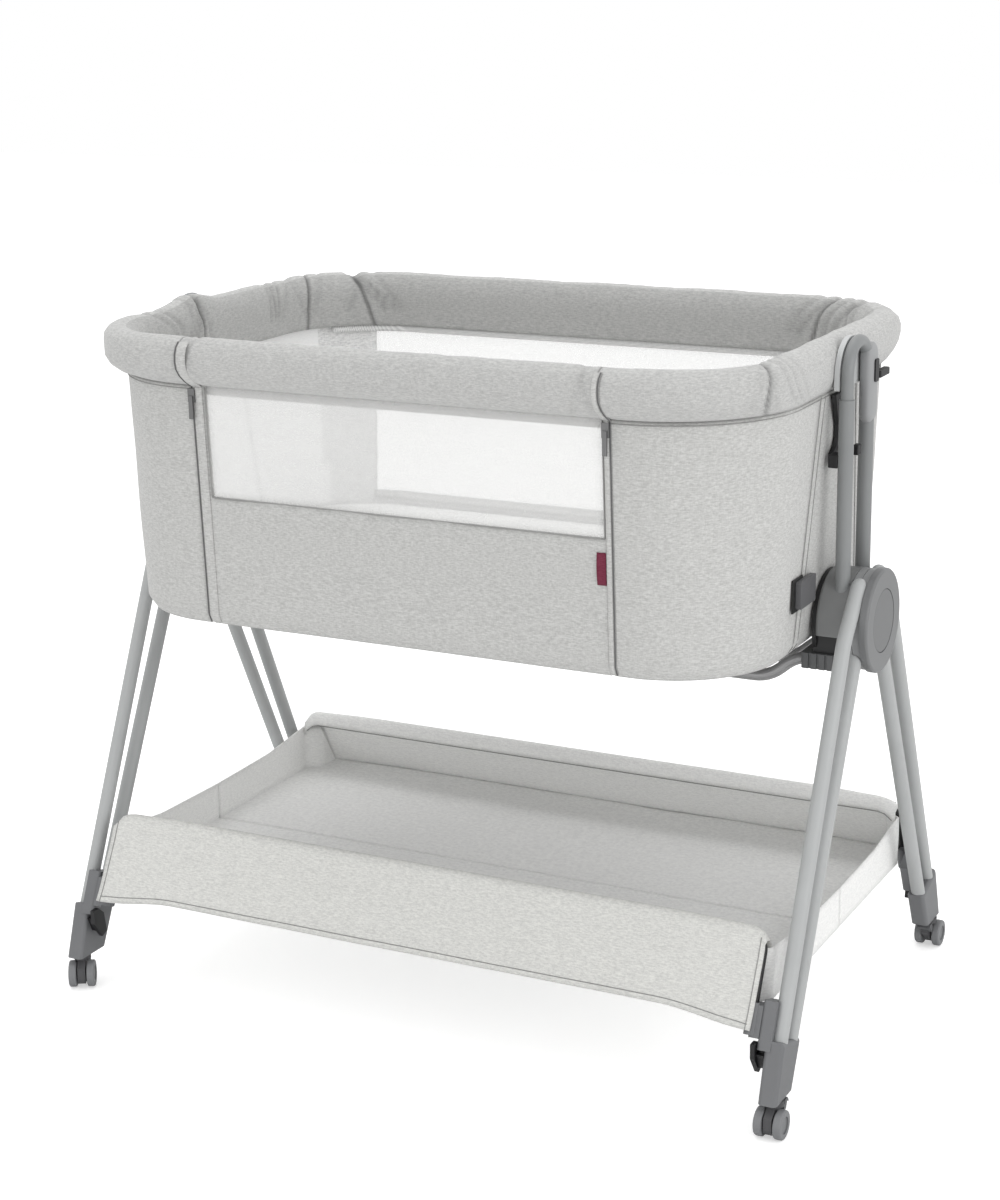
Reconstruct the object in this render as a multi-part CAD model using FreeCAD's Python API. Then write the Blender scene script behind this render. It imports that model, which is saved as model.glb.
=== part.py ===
import FreeCAD, Part
import math
import os

"""Bedside sleeper crib: a cloth crib on folding tube legs, with a storage basket between the legs.

Millimetres. +X runs along the crib, the zipped side that drops faces -Y, +Z is up.
The origin is on the floor under the middle of the crib.  Whatever is on both ends is
modelled at the +X end and mirrored, and the rear legs mirror the front legs.
"""

# ------------------------------------------------------------------ driving sizes
RIM_TOP = 775.5
# padded rim, outside and inside: half length, half depth, corner radius, height
RIM_OUTSIDE = ((391.5, 252.0, 138.0, 722.0), (397.0, 271.0, 130.0, 734.0), (400.0, 281.0, 123.0, 748.0),
               (398.5, 280.5, 120.0, 760.0), (390.0, 272.0, 113.0, 771.0), (379.0, 261.0, 103.0, RIM_TOP))
RIM_INSIDE = ((366.0, 247.0, 112.0, 722.0), (361.0, 242.0, 107.0, 737.0), (360.0, 241.0, 104.0, 752.0),
              (363.0, 244.0, 103.0, 764.0), (370.0, 251.0, 102.0, 772.0), (379.0, 260.9, 103.0, RIM_TOP + 0.05))
SKIRT_OUTSIDE = (366.0, 247.0, 112.0)
SKIRT_INSIDE = (363.5, 244.5, 109.5)
SKIRT_BOTTOM = 711.0
RIM_TUBE = (380.0, 262.0, 104.0, 746.0)      # half length, half depth, bend radius, height of its axis
RIM_DENT = (398.4, 48.0)     # rim's half length and half width where it leans on the arch plate
RIM_TUBE_RADIUS = 9.0
RIM_TUBE_WALL = 1.2
CLOTH = 4.0                  # thickness of a padded cloth wall

BODY_BOTTOM = 455.0
BODY_BEND = 466.0            # height at which the wall turns in under the crib
BODY_TOP = 722.0
BODY_FLOOR = (374.0, 234.0, 117.0)   # half length, half depth, corner radius at the bottom
BODY_LOW = (381.0, 239.5, 122.0)     # the same at the turn
BODY_HIGH = (391.5, 252.0, 138.0)    # the same just under the rim
SEAM_LOW = 97.0              # where the end panel meets the corner panels, bottom and top
SEAM_HIGH = 54.0
ZIP_X = 241.5                # middle of each zip
ZIP_GAP = 2.0                # clear width between the dropping side and the corners
WINDOW_LEFT = -226.0
WINDOW_RIGHT = 237.0
WINDOW_LOW = 600.0
BACK_MESH_HALF = 300.0
BACK_MESH_LOW = 498.0
MESH = 1.6
BOARD = (456.0, 461.0)       # bottom and top of the base board
MATTRESS = (461.5, 490.0)

HUB_Z = 476.0                # height of the leg pivots
DRUM_RADIUS = 54.0
COVER_RADIUS = 56.0
BUTTON_RADIUS = 34.0
PIN_RADIUS = 10.0
RUNNING_FIT = 0.05
HOUSING_IN = 389.5           # stations along X, from the crib outwards
HOUSING_STEP = 414.0
HOUSING_OUT = 421.0
FRONT_RING = (421.5, 429.2)
REAR_RING = (429.8, 437.5)
COVER = (438.0, 447.0)
HOUSING_BOTTOM = 467.0

POST_X = 411.5
POST_Y = 32.0
POST_RADIUS = 8.0
POST_BORE = 6.6
POST_BOTTOM = 470.0
POST_TOP = 715.0
ARCH_RADIUS = 6.55
ARCH_BOTTOM = 560.0
ARCH_PLATE = (399.0, 404.6)
LOCK = (680.0, 765.0)        # bottom and top of the height lock's housing
LOCK_X = (405.1, 420.5)

LEG_X = 429.5
LEG_RADIUS = 8.0
FOLD_CLEARANCE = 0.6         # between a leg tube's end and the other legs' ring
FOOT = (418.0, 438.5)        # inner and outer side of a foot
FOOT_SHELL_X = 410.0         # inner side of the half shell above it
FOOT_BOTTOM = 38.0
FOOT_TUBE_END = 62.0         # height at which the leg tubes end inside the foot

CASTER_X = 430.0
STEM_Y = 260.0
TRAIL = 8.0
WHEEL_RADIUS = 15.5
WHEEL_WIDTH = 9.0
WHEEL_PAIR = 30.0
WEB_WIDTH = 9.0
AXLE_RADIUS = 2.5
STEM_RADIUS = 4.5
FRONT_LEFT_SWIVEL = 30.0     # how far the front left caster is turned, degrees

ROD_RADIUS = 4.0
ROD_X = 400.0
ROD_BEND = 20.0
BASKET_FLOOR = 118.0
BASKET_WALL = 3.0
BASKET_SIDE_X = 405.0
BASKET_SIDE_TOP = 170.0
BASKET_FLAP_LOW = 111.0
BASKET_SPLIT = -0.2          # where the front half of the basket ends


# ------------------------------------------------------------------ small helpers
def vec(point):
    return FreeCAD.Vector(*point)


def box(x, y, z):
    """Block from three (low, high) pairs."""
    return Part.makeBox(x[1] - x[0], y[1] - y[0], z[1] - z[0], vec((x[0], y[0], z[0])))


def cylinder(start, end, radius):
    axis = vec(end) - vec(start)
    return Part.makeCylinder(radius, axis.Length, vec(start), axis)


def disc(x, radius, y=0.0, z=HUB_Z):
    """Round plate about a line along X, from its (low, high) stations."""
    return cylinder((x[0], y, z), (x[1], y, z), radius)


def side_plate(points, x):
    """Plate with an outline of (y, z) points and two X stations."""
    corners = [vec((x[0], y, z)) for y, z in points]
    face = Part.Face(Part.makePolygon(corners + corners[:1]))
    return face.extrude(vec((x[1] - x[0], 0, 0)))


def bent_path(points, bend):
    """Straight runs joined by tangent arcs of one radius."""
    corners = [vec(p) for p in points]
    edges = []
    start = corners[0]
    for before, corner, after in zip(corners, corners[1:], corners[2:]):
        inward = (corner - before).normalize()
        outward = (after - corner).normalize()
        tangent = bend * math.tan(inward.getAngle(outward) / 2)
        middle = (outward - inward).normalize() * (math.hypot(bend, tangent) - bend)
        arc = Part.Arc(corner - inward * tangent, corner + middle, corner + outward * tangent)
        edges.append(Part.LineSegment(start, arc.StartPoint).toShape())
        edges.append(arc.toShape())
        start = arc.EndPoint
    edges.append(Part.LineSegment(start, corners[-1]).toShape())
    return Part.Wire(edges)


def bent_rod(points, bend, radius):
    """Round bar along a bent path."""
    path = bent_path(points, bend)
    direction = vec(points[1]) - vec(points[0])
    ring = Part.Wire(Part.makeCircle(radius, vec(points[0]), direction))
    return path.makePipeShell([ring], True, False)


def outline(half_x, half_y, radius, z):
    """Rounded rectangle seen from above."""
    corner_x = half_x - radius
    corner_y = half_y - radius
    diagonal = radius * math.sqrt(0.5)
    edges = []
    start = vec((corner_x, -half_y, z))
    for sx, sy, first_x in ((1, -1, False), (1, 1, True), (-1, 1, False), (-1, -1, True)):
        on_y_side = vec((sx * corner_x, sy * half_y, z))
        on_x_side = vec((sx * half_x, sy * corner_y, z))
        middle = vec((sx * (corner_x + diagonal), sy * (corner_y + diagonal), z))
        begin, end = (on_x_side, on_y_side) if first_x else (on_y_side, on_x_side)
        if (begin - start).Length > 0.001:
            edges.append(Part.LineSegment(start, begin).toShape())
        edges.append(Part.Arc(begin, middle, end).toShape())
        start = end
    edges.append(Part.LineSegment(start, vec((corner_x, -half_y, z))).toShape())
    return Part.Wire(edges)


def lofted(sections):
    """Solid through outlines given as (half length, half depth, corner radius, height)."""
    return Part.makeLoft([outline(*section) for section in sections], True, True)


def at_left(shape):
    return shape.mirror(vec((0, 0, 0)), vec((1, 0, 0)))


def at_rear(shape):
    return shape.mirror(vec((0, 0, 0)), vec((0, 1, 0)))


def both_ends(shape):
    return [shape, at_left(shape)]


def save(name, *shapes):
    """Write one node: a single solid, or a group of like solids."""
    solids = [solid for shape in shapes for solid in shape.Solids]
    node = solids[0] if len(solids) == 1 else Part.makeCompound(solids)
    node.exportStep("parts/" + name + ".step")


# ------------------------------------------------------------------ hubs, posts and cross tubes
def hub_housing():
    """Drum that holds both posts and the pivot pin, flat underneath on the crib's side."""
    drum = disc((HOUSING_IN, HOUSING_OUT), DRUM_RADIUS)
    rim = [e for e in drum.Edges if abs(e.BoundBox.XMin - HOUSING_IN) < 0.1
           and abs(e.BoundBox.XMax - HOUSING_IN) < 0.1]
    drum = drum.makeFillet(4.0, rim)
    below = box((HOUSING_IN - 1, HOUSING_STEP), (-60, 60), (HUB_Z - 60, HOUSING_BOTTOM))
    drum = drum.cut(below)
    for y in (-POST_Y, POST_Y):
        socket = cylinder((POST_X, y, POST_BOTTOM), (POST_X, y, HUB_Z + 60), POST_RADIUS)
        drum = drum.cut(socket)
    return drum.cut(disc((398, HOUSING_OUT + 1), PIN_RADIUS))


def hub_pin():
    """Pivot pin of the legs, drilled for the stem of the fold button."""
    pin = disc((398, COVER[0] + 2), PIN_RADIUS)
    return pin.cut(disc((426, COVER[0] + 3), 4.0 + RUNNING_FIT))


def hub_cover():
    """Outer disc, hollowed for the fold button."""
    cover = disc(COVER, COVER_RADIUS)
    outer = [e for e in cover.Edges if abs(e.BoundBox.XMin - COVER[1]) < 0.1]
    cover = cover.makeFillet(3.0, outer)
    cover = cover.cut(disc((COVER[0] + 2, COVER[1] + 1), BUTTON_RADIUS + 0.3))
    return cover.cut(disc((COVER[0] - 1, COVER[0] + 3), PIN_RADIUS))


def fold_button():
    """Round push button with a short boss that enters the drilled pin when pressed."""
    cap = disc((443, 446.8), BUTTON_RADIUS)
    outer = [e for e in cap.Edges if abs(e.BoundBox.XMin - 446.8) < 0.1]
    cap = cap.makeFillet(1.2, outer)
    return cap.fuse(disc((440.4, 443.5), 4.0)).removeSplitter()


def hub_bracket():
    """Black steel bracket: a plate behind the housing and a block under it."""
    plate = disc((HOUSING_IN - 4.5, HOUSING_IN), DRUM_RADIUS - 3)
    plate = plate.cut(box((HOUSING_IN - 6, HOUSING_IN + 1), (-60, 60), (400, 446)))
    block = box((HOUSING_IN - 4.5, HOUSING_STEP - 0.5), (-45, 45), (446, HOUSING_BOTTOM))
    pin_room = disc((HOUSING_IN, HOUSING_STEP), PIN_RADIUS)
    return plate.fuse(block.cut(pin_room)).removeSplitter()


def cross_tube(y):
    """Tube that ties the two ends together under the crib, dropped clear of its floor."""
    end_x = 405.0
    points = [(end_x, y, 438), (366, y, 438), (334, y, 411)]
    points += [(-x, py, z) for x, py, z in reversed(points)]
    return bent_rod(points, 45.0, 6.5)


def cross_tube_clamp():
    """Ribbed clamp that holds the ends of both cross tubes under the bracket."""
    clamp = box((373, HOUSING_STEP - 0.5), (-50, 50), (429, 446))
    corners = [e for e in clamp.Edges if abs(e.BoundBox.YLength) < 0.1 and e.BoundBox.ZLength > 10]
    clamp = clamp.makeFillet(4.0, corners)
    for x in (383, 392, 401, 410):
        for side in (-1, 1):
            groove = box((x - 1.5, x + 1.5), sorted((side * 48.5, side * 51)), (428, 447))
            clamp = clamp.cut(groove)
    for y in (-38, 38):
        clamp = clamp.cut(cross_tube(y))
    return clamp


def post(y):
    """Fixed outer tube of a post, bored for the sliding arch."""
    tube = cylinder((POST_X, y, POST_BOTTOM), (POST_X, y, POST_TOP), POST_RADIUS)
    return tube.cut(cylinder((POST_X, y, POST_BOTTOM - 1), (POST_X, y, POST_TOP + 1), POST_BORE))


# ------------------------------------------------------------------ legs
def leg_line(top_y, foot_y, z):
    """Y of a leg tube's axis at a height; the two tubes of a leg close in on each other."""
    return -(top_y + (470.0 - z) * (foot_y - top_y) / 440.0)


def inner_line(z):
    return leg_line(28.0, 243.0, z)


def outer_line(z):
    return leg_line(76.5, 274.5, z)


def front_leg_tubes():
    """The two tubes of a front leg; the outer one bends in to meet the drum."""
    foot_z = FOOT_TUBE_END
    inner = cylinder((LEG_X, inner_line(foot_z), foot_z), (LEG_X, inner_line(460), 460), LEG_RADIUS)
    bend_z = 472.0
    outer = bent_rod([(LEG_X, outer_line(foot_z), foot_z), (LEG_X, outer_line(bend_z), bend_z),
                      (LEG_X, -34, 519)], 70.0, LEG_RADIUS)
    tubes = []
    for tube in (inner, outer):
        tube = tube.cut(disc((LEG_X - 20, LEG_X), DRUM_RADIUS))
        tube = tube.cut(disc((LEG_X - 0.1, LEG_X + 20), DRUM_RADIUS + FOLD_CLEARANCE))
        tubes.append(max(tube.Solids, key=lambda solid: solid.Volume))
    return tubes


def leg_ring(x):
    """Ring of one leg frame, turning on the hub's pin."""
    return disc(x, DRUM_RADIUS).cut(disc((x[0] - 1, x[1] + 1), PIN_RADIUS + RUNNING_FIT))


def front_foot():
    """Plastic foot: body over the tube ends, half shell up the inner side, rod socket."""
    front = 15.5
    back = 9.6
    body = side_plate([(-279, FOOT_BOTTOM), (inner_line(FOOT_BOTTOM) + back, FOOT_BOTTOM),
                       (inner_line(84) + back, 84), (outer_line(100) - front, 100)], FOOT)
    uprights = [e for e in body.Edges if e.BoundBox.XLength < 0.1 and e.BoundBox.ZLength > 12]
    body = body.makeFillet(5.0, uprights)
    shell = side_plate([(outer_line(90) - front, 90), (inner_line(84), 84), (inner_line(118), 118),
                        (outer_line(136) + 8, 128), (outer_line(136) - front, 136)], (FOOT_SHELL_X, LEG_X - 4))
    edges = [e for e in shell.Edges if abs(e.BoundBox.XMax - FOOT_SHELL_X) < 0.1 and e.BoundBox.ZLength > 20]
    foot = body.fuse(shell.makeFillet(4.0, edges))
    lug_low = rod_point(100.0)
    lug_high = rod_point(130.0)
    lug = cylinder((ROD_X, *lug_low), (ROD_X, *lug_high), ROD_RADIUS + 3)
    web = side_plate([(lug_low[0] - 5, lug_low[1]), (lug_low[0] + 5, lug_low[1]),
                      (lug_high[0] + 5, lug_high[1]), (lug_high[0] - 5, lug_high[1])],
                     (ROD_X, FOOT_SHELL_X + 1))
    foot = foot.fuse([lug, web]).removeSplitter()
    foot = foot.cut(cylinder((ROD_X, *rod_point(108.0)), (ROD_X, *rod_point(140.0)), ROD_RADIUS))
    for line in (inner_line, outer_line):
        low = vec((LEG_X, line(FOOT_TUBE_END), FOOT_TUBE_END))
        high = vec((LEG_X, line(200), 200))
        foot = foot.cut(Part.makeCylinder(LEG_RADIUS, (high - low).Length, low, high - low))
    stem = (CASTER_X, -STEM_Y)
    return foot.cut(cylinder((*stem, FOOT_BOTTOM - 1), (*stem, 58), STEM_RADIUS + RUNNING_FIT))


def rod_catch():
    """Black catch on the inner side of a foot, below the end of the basket rod."""
    outline_yz = [(-266, 96), (-256, 96), (-247, 88), (-243, 64), (-252, 60), (-266, 80)]
    catch = side_plate(outline_yz, (FOOT_SHELL_X - 5, FOOT_SHELL_X - 0.05))
    step = side_plate([(-262, 84), (-250, 84), (-245, 66), (-254, 66)], (FOOT_SHELL_X - 1, FOOT[0] - 0.05))
    return catch.fuse(step).removeSplitter()


# ------------------------------------------------------------------ casters
def caster_place(x_side, y_side):
    """Where a caster stands, and how far it is turned from pointing straight out."""
    turn = FRONT_LEFT_SWIVEL if (x_side, y_side) == (-1, -1) else 0.0
    return vec((x_side * CASTER_X, y_side * STEM_Y, 0)), turn


def placed(shape, x_side, y_side):
    """Set a caster piece, drawn about its stem and trailing to -Y, under its foot."""
    origin, turn = caster_place(x_side, y_side)
    moved = shape.copy()
    if y_side > 0:
        moved = moved.mirror(vec((0, 0, 0)), vec((0, 1, 0)))
    moved.rotate(vec((0, 0, 0)), vec((0, 0, 1)), turn)
    moved.translate(origin)
    return moved


def caster_fork():
    """Swivel stem with its collar, and the web between the two wheels."""
    collar = cylinder((0, 0, 31.5), (0, 0, FOOT_BOTTOM - 0.3), 10)
    stem = cylinder((0, 0, 31), (0, 0, 56), STEM_RADIUS)
    half = WEB_WIDTH / 2
    web = side_plate([(-TRAIL - 9, 6), (-TRAIL + 6, 6), (13, 21), (13, 30), (9, 33), (-9, 33),
                      (-TRAIL - 12, 24), (-TRAIL - 12, 12)], (-half, half))
    fork = collar.fuse([stem, web]).removeSplitter()
    axle = disc((-20, 20), AXLE_RADIUS + RUNNING_FIT, -TRAIL, WHEEL_RADIUS)
    pivot = disc((-20, 20), 1.5 + RUNNING_FIT, 9.5, 26.5)
    return fork.cut(axle).cut(pivot)


def caster_wheels():
    """Twin wheels pressed on their axle."""
    outer = WHEEL_PAIR / 2
    inner = outer - WHEEL_WIDTH
    wheels = []
    for side in (-1, 1):
        wheel = disc(sorted((side * inner, side * outer)), WHEEL_RADIUS, -TRAIL, WHEEL_RADIUS)
        wheel = wheel.makeFillet(2.0, [e for e in wheel.Edges if e.BoundBox.XLength < 0.1])
        dish = disc(sorted((side * (outer - 1.5), side * (outer + 1))), 9, -TRAIL, WHEEL_RADIUS)
        wheels.append(wheel.cut(dish).cut(disc((-20, 20), AXLE_RADIUS, -TRAIL, WHEEL_RADIUS)))
    axle = disc((-outer + 1.5, outer - 1.5), AXLE_RADIUS, -TRAIL, WHEEL_RADIUS)
    return wheels + [axle]


def brake_pedal():
    """Brake lever on a cross pin, with a cheek on each side of the web."""
    half = WEB_WIDTH / 2
    plate = side_plate([(10.6, 34.2), (17, 34.2), (20, 30.5), (20, 28.5), (17, 31), (14, 31),
                        (12.5, 33.0), (10.6, 33.0)], (-8, 8))
    cheeks = []
    for side in (-1, 1):
        cheek = side_plate([(9.8, 33.6), (17, 33.6), (13, 24), (9.5, 22.5), (7, 25), (7, 29), (9.3, 31.3)],
                           sorted((side * (half + 0.4), side * 8)))
        cheeks.append(cheek)
    pin = disc((-8, 8), 1.5, 9.5, 26.5)
    return plate.fuse(cheeks + [pin]).removeSplitter()


# ------------------------------------------------------------------ basket
def rod_point(z):
    """(y, z) on the slanted leg of the front basket rod."""
    return (-209.5 - (194.0 - z) * 0.47, z)


def front_rod():
    """Basket rod: along the top of the front cloth, its ends bent down into the feet."""
    low = rod_point(108.0)
    high = rod_point(194.0)
    return bent_rod([(ROD_X, *low), (ROD_X, *high), (-ROD_X, *high), (-ROD_X, *low)],
                    ROD_BEND, ROD_RADIUS)


def front_basket():
    """Front half of the basket: leaning flap hemmed round the rod, floor, and half of each side."""
    top_y, top_z = rod_point(194.0)
    flap = side_plate([(top_y - 8, top_z + 1), (top_y - 4.6, top_z + 1),
                       (-264.5 + BASKET_WALL, BASKET_FLAP_LOW), (-264.5, BASKET_FLAP_LOW)],
                      (-BASKET_SIDE_X, BASKET_SIDE_X))
    hem_half = ROD_X - ROD_BEND
    hem = disc((-hem_half, hem_half), ROD_RADIUS + BASKET_WALL, top_y, top_z)
    half = BASKET_SIDE_X - 0.1
    floor = box((-half, half), (-259, BASKET_SPLIT), (BASKET_FLOOR, BASKET_FLOOR + BASKET_WALL))
    for side in (-1, 1):
        floor = floor.cut(box(sorted((side * 391, side * 420)), (-270, -226), (100, 140)))
    side = side_plate([(-226, BASKET_FLOOR), (BASKET_SPLIT, BASKET_FLOOR), (BASKET_SPLIT, BASKET_SIDE_TOP - 4),
                       (-120, BASKET_SIDE_TOP - 2), (-205, BASKET_SIDE_TOP + 8), (-222, 150)],
                      (BASKET_SIDE_X - 0.1, BASKET_SIDE_X + BASKET_WALL))
    basket = flap.fuse([hem, floor, side, at_left(side)]).removeSplitter()
    return basket.cut(disc((-420, 420), ROD_RADIUS + 0.2, top_y, top_z))


# ------------------------------------------------------------------ crib body
def shrunk(sizes, depth):
    return [size - depth for size in sizes]


def wall_solid(depth):
    """The tapered body down to its turned-in bottom edge, at a depth below its outer face."""
    return lofted([(*shrunk(BODY_FLOOR, depth), BODY_BOTTOM), (*shrunk(BODY_LOW, depth), BODY_BEND),
                   (*shrunk(BODY_HIGH, depth), BODY_TOP)])


def rim_tube_solid(radius):
    """Bar along the middle of the rim, open at the front between the zips."""
    middle_x, middle_y, bend, height = RIM_TUBE
    front = ZIP_X + ZIP_GAP / 2
    points = [(-front, -middle_y, height), (-middle_x, -middle_y, height), (-middle_x, middle_y, height),
              (middle_x, middle_y, height), (middle_x, -middle_y, height), (front, -middle_y, height)]
    return bent_rod(points, bend, radius)


def rim_ring():
    """Padded rim all round: bowed outside and inside, with a thin skirt hanging inside the wall."""
    ring = lofted(RIM_OUTSIDE).cut(lofted(RIM_INSIDE))
    skirt = lofted([(*SKIRT_OUTSIDE, SKIRT_BOTTOM), (*SKIRT_OUTSIDE, RIM_OUTSIDE[0][3] + 3)])
    skirt = skirt.cut(lofted([(*SKIRT_INSIDE, SKIRT_BOTTOM - 1), (*SKIRT_INSIDE, RIM_OUTSIDE[0][3] + 4)]))
    ring = ring.fuse(skirt)
    for side in (-1, 1):
        dent = box(sorted((side * RIM_DENT[0], side * 420)), (-RIM_DENT[1], RIM_DENT[1]), (700, 800))
        ring = ring.cut(dent)
    return ring


def sliding_arch():
    """Hairpin tube that slides in the two posts and carries the crib."""
    bend_z = 739.0
    top = bend_z + POST_Y
    left = vec((POST_X, -POST_Y, bend_z))
    right = vec((POST_X, POST_Y, bend_z))
    shoulder = POST_Y * math.sqrt(0.5)
    crown = vec((POST_X, 0, top))
    edges = [Part.LineSegment(vec((POST_X, -POST_Y, ARCH_BOTTOM)), left).toShape(),
             Part.Arc(left, vec((POST_X, -shoulder, bend_z + shoulder)), crown).toShape(),
             Part.Arc(crown, vec((POST_X, shoulder, bend_z + shoulder)), right).toShape(),
             Part.LineSegment(right, vec((POST_X, POST_Y, ARCH_BOTTOM))).toShape()]
    ring = Part.Wire(Part.makeCircle(ARCH_RADIUS, vec((POST_X, -POST_Y, ARCH_BOTTOM)), vec((0, 0, 1))))
    return Part.Wire(edges).makePipeShell([ring], True, False)


def arch_plate():
    """Plate between the arch and the rim."""
    radius = POST_Y + 5
    bend_z = 739.0
    plate = disc(ARCH_PLATE, radius, 0.0, bend_z)
    plate = plate.cut(box((ARCH_PLATE[0] - 1, ARCH_PLATE[1] + 1), (-60, 60), (650, bend_z)))
    return plate.fuse(box(ARCH_PLATE, (-radius, radius), (724, bend_z))).removeSplitter()


def height_lock():
    """Oval housing on the arch's rear limb that grips the post below it."""
    y = (POST_Y - 13, POST_Y + 13)
    mid = (LOCK[0] + 13, LOCK[1] - 13)
    housing = box(LOCK_X, y, mid)
    housing = housing.fuse([disc(LOCK_X, 13, POST_Y, z) for z in mid]).removeSplitter()
    rims = [e for e in housing.Edges if abs(e.BoundBox.XMin - LOCK_X[1]) < 0.1]
    housing = housing.makeFillet(1.5, rims)
    post_room = cylinder((POST_X, POST_Y, LOCK[0] - 1), (POST_X, POST_Y, POST_TOP + 1), POST_RADIUS + 0.3)
    button_room = side_plate(button_outline(0.3), (LOCK_X[1] - 1.8, LOCK_X[1] + 1))
    return housing.cut([post_room, button_room, sliding_arch()])


def button_outline(extra):
    """Outline of the height button, grown by a clearance."""
    y = (POST_Y - 5.5 - extra, POST_Y + 5.5 + extra)
    z = (724 - extra, 748 + extra)
    return [(y[0], z[0]), (y[1], z[0]), (y[1], z[1]), (y[0], z[1])]


def height_button():
    """Push button in the outer face of the height lock."""
    button = side_plate(button_outline(0.0), (LOCK_X[1] - 0.6, LOCK_X[1] + 1.6))
    uprights = [e for e in button.Edges if e.BoundBox.XLength > 1]
    return button.makeFillet(2.5, uprights)


def mattress():
    """Pad with a crowned top and drawn-in edges."""
    low, high = MATTRESS
    x, y, r = shrunk(BODY_LOW, CLOTH + 1.5)
    return lofted([(x - 6, y - 6, r - 6, low), (x, y, r, low + 10), (x - 0.5, y - 0.5, r - 0.5, high - 9),
                   (x - 6, y - 6, r - 6, high - 3), (x - 40, y - 40, r - 40, high)])


def zip_slider():
    """Slider of a zip with its pull, lying on the cloth just under the rim."""
    face_y = -252.3
    body = box((ZIP_X - 4, ZIP_X + 4), (face_y - 3.5, face_y), (704, 719))
    pull = box((ZIP_X - 2.5, ZIP_X + 2.5), (face_y - 5, face_y - 3.5), (686, 711))
    return body.fuse(pull).removeSplitter()


def end_buckle():
    """Side-release buckle and its backing strap on the end cloth."""
    backing = box((384.8, 386.4), (-113, -84), (505, 540))
    clip = box((386.4, 392.0), (-105, -60), (508, 537))
    clip = clip.makeFillet(2.0, [e for e in clip.Edges if e.BoundBox.XLength > 5])
    return [backing, clip]


# ------------------------------------------------------------------ write every node
os.makedirs("parts", exist_ok=True)

ENDS = (("right", lambda shape: shape), ("left", at_left))

for end, put in ENDS:
    save("hub_housing_" + end, put(hub_housing()))
    save("fold_button_" + end, put(fold_button()))
    save("sliding_arch_" + end, put(sliding_arch()))
    save("height_button_" + end, put(height_button()))
    save("zip_slider_" + end, put(zip_slider()))
    save("foot_front_" + end, put(front_foot()))
    save("foot_rear_" + end, put(at_rear(front_foot())))

save("hub_pins", *both_ends(hub_pin()))
save("hub_covers", *both_ends(hub_cover()))
save("hub_brackets", *both_ends(hub_bracket()))
save("post_tubes", *[half for y in (-POST_Y, POST_Y) for half in both_ends(post(y))])
save("cross_tubes", cross_tube(-38), cross_tube(38))
save("cross_tube_clamps", *both_ends(cross_tube_clamp()))
FRONT_LEGS = [half for tube in front_leg_tubes() for half in both_ends(tube)]
save("leg_tubes_front", *FRONT_LEGS)
save("leg_tubes_rear", *[at_rear(tube) for tube in FRONT_LEGS])
save("leg_rings_front", *both_ends(leg_ring(FRONT_RING)))
save("leg_rings_rear", *both_ends(leg_ring(REAR_RING)))
save("basket_rod_front", front_rod())
save("basket_rod_rear", at_rear(front_rod()))
save("basket_front", front_basket())
save("basket_rear", at_rear(front_basket()))
save("arch_plates", *both_ends(arch_plate()))
save("height_locks", *both_ends(height_lock()))
save("rod_catches_front", *both_ends(rod_catch()))
save("rod_catches_rear", *[at_rear(catch) for catch in both_ends(rod_catch())])
save("end_buckles", *[piece for solid in end_buckle() for piece in both_ends(solid)])

for depth_name, y_side in (("front", -1), ("rear", 1)):
    for end, x_side in (("right", 1), ("left", -1)):
        place = depth_name + "_" + end
        save("caster_fork_" + place, placed(caster_fork(), x_side, y_side))
        save("caster_wheels_" + place, *[placed(piece, x_side, y_side) for piece in caster_wheels()])
        save("brake_pedal_" + place, placed(brake_pedal(), x_side, y_side))

SHELL = wall_solid(0.0).cut(wall_solid(CLOTH))
THIN_SKIN = wall_solid(1.2).cut(wall_solid(1.2 + MESH))
TALL = (BODY_BOTTOM - 1, BODY_TOP + 1)
FRONT_EDGE = ZIP_X + ZIP_GAP / 2
DROP_EDGE = ZIP_X - ZIP_GAP / 2

SEAM_OUTLINE = [(-SEAM_LOW, TALL[0]), (SEAM_LOW, TALL[0]), (SEAM_HIGH, TALL[1]), (-SEAM_HIGH, TALL[1])]
for end, side in (("right", 1), ("left", -1)):
    end_block = side_plate(SEAM_OUTLINE, sorted((side * 300, side * 500)))
    front_block = box(sorted((side * FRONT_EDGE, side * 500)), (-400, 0), TALL)
    save("end_panel_" + end, SHELL.common(end_block))
    save("corner_panel_front_" + end, SHELL.common(front_block).cut(end_block))

MESH_BOX = box((-BACK_MESH_HALF, BACK_MESH_HALF), (200, 400), (BACK_MESH_LOW, BODY_TOP + 1))
END_BLOCKS = both_ends(side_plate(SEAM_OUTLINE, (300, 500)))
save("back_panel", SHELL.common(box((-500, 500), (0, 400), TALL)).cut(END_BLOCKS + [MESH_BOX]))
save("back_mesh", THIN_SKIN.common(MESH_BOX))

FRONT_BOX = box((-DROP_EDGE, DROP_EDGE), (-400, -200), (BODY_BOTTOM - 1, BODY_TOP))
WINDOW_BOX = box((WINDOW_LEFT, WINDOW_RIGHT), (-400, -200), (WINDOW_LOW, BODY_TOP))
save("drop_cloth", SHELL.common(FRONT_BOX).cut(WINDOW_BOX))
save("drop_window", THIN_SKIN.common(WINDOW_BOX))

INSIDE = shrunk(BODY_FLOOR, CLOTH + 0.2)
save("base_board", lofted([(*INSIDE, BOARD[0]), (*INSIDE, BOARD[1])]))
save("mattress", mattress())

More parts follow.
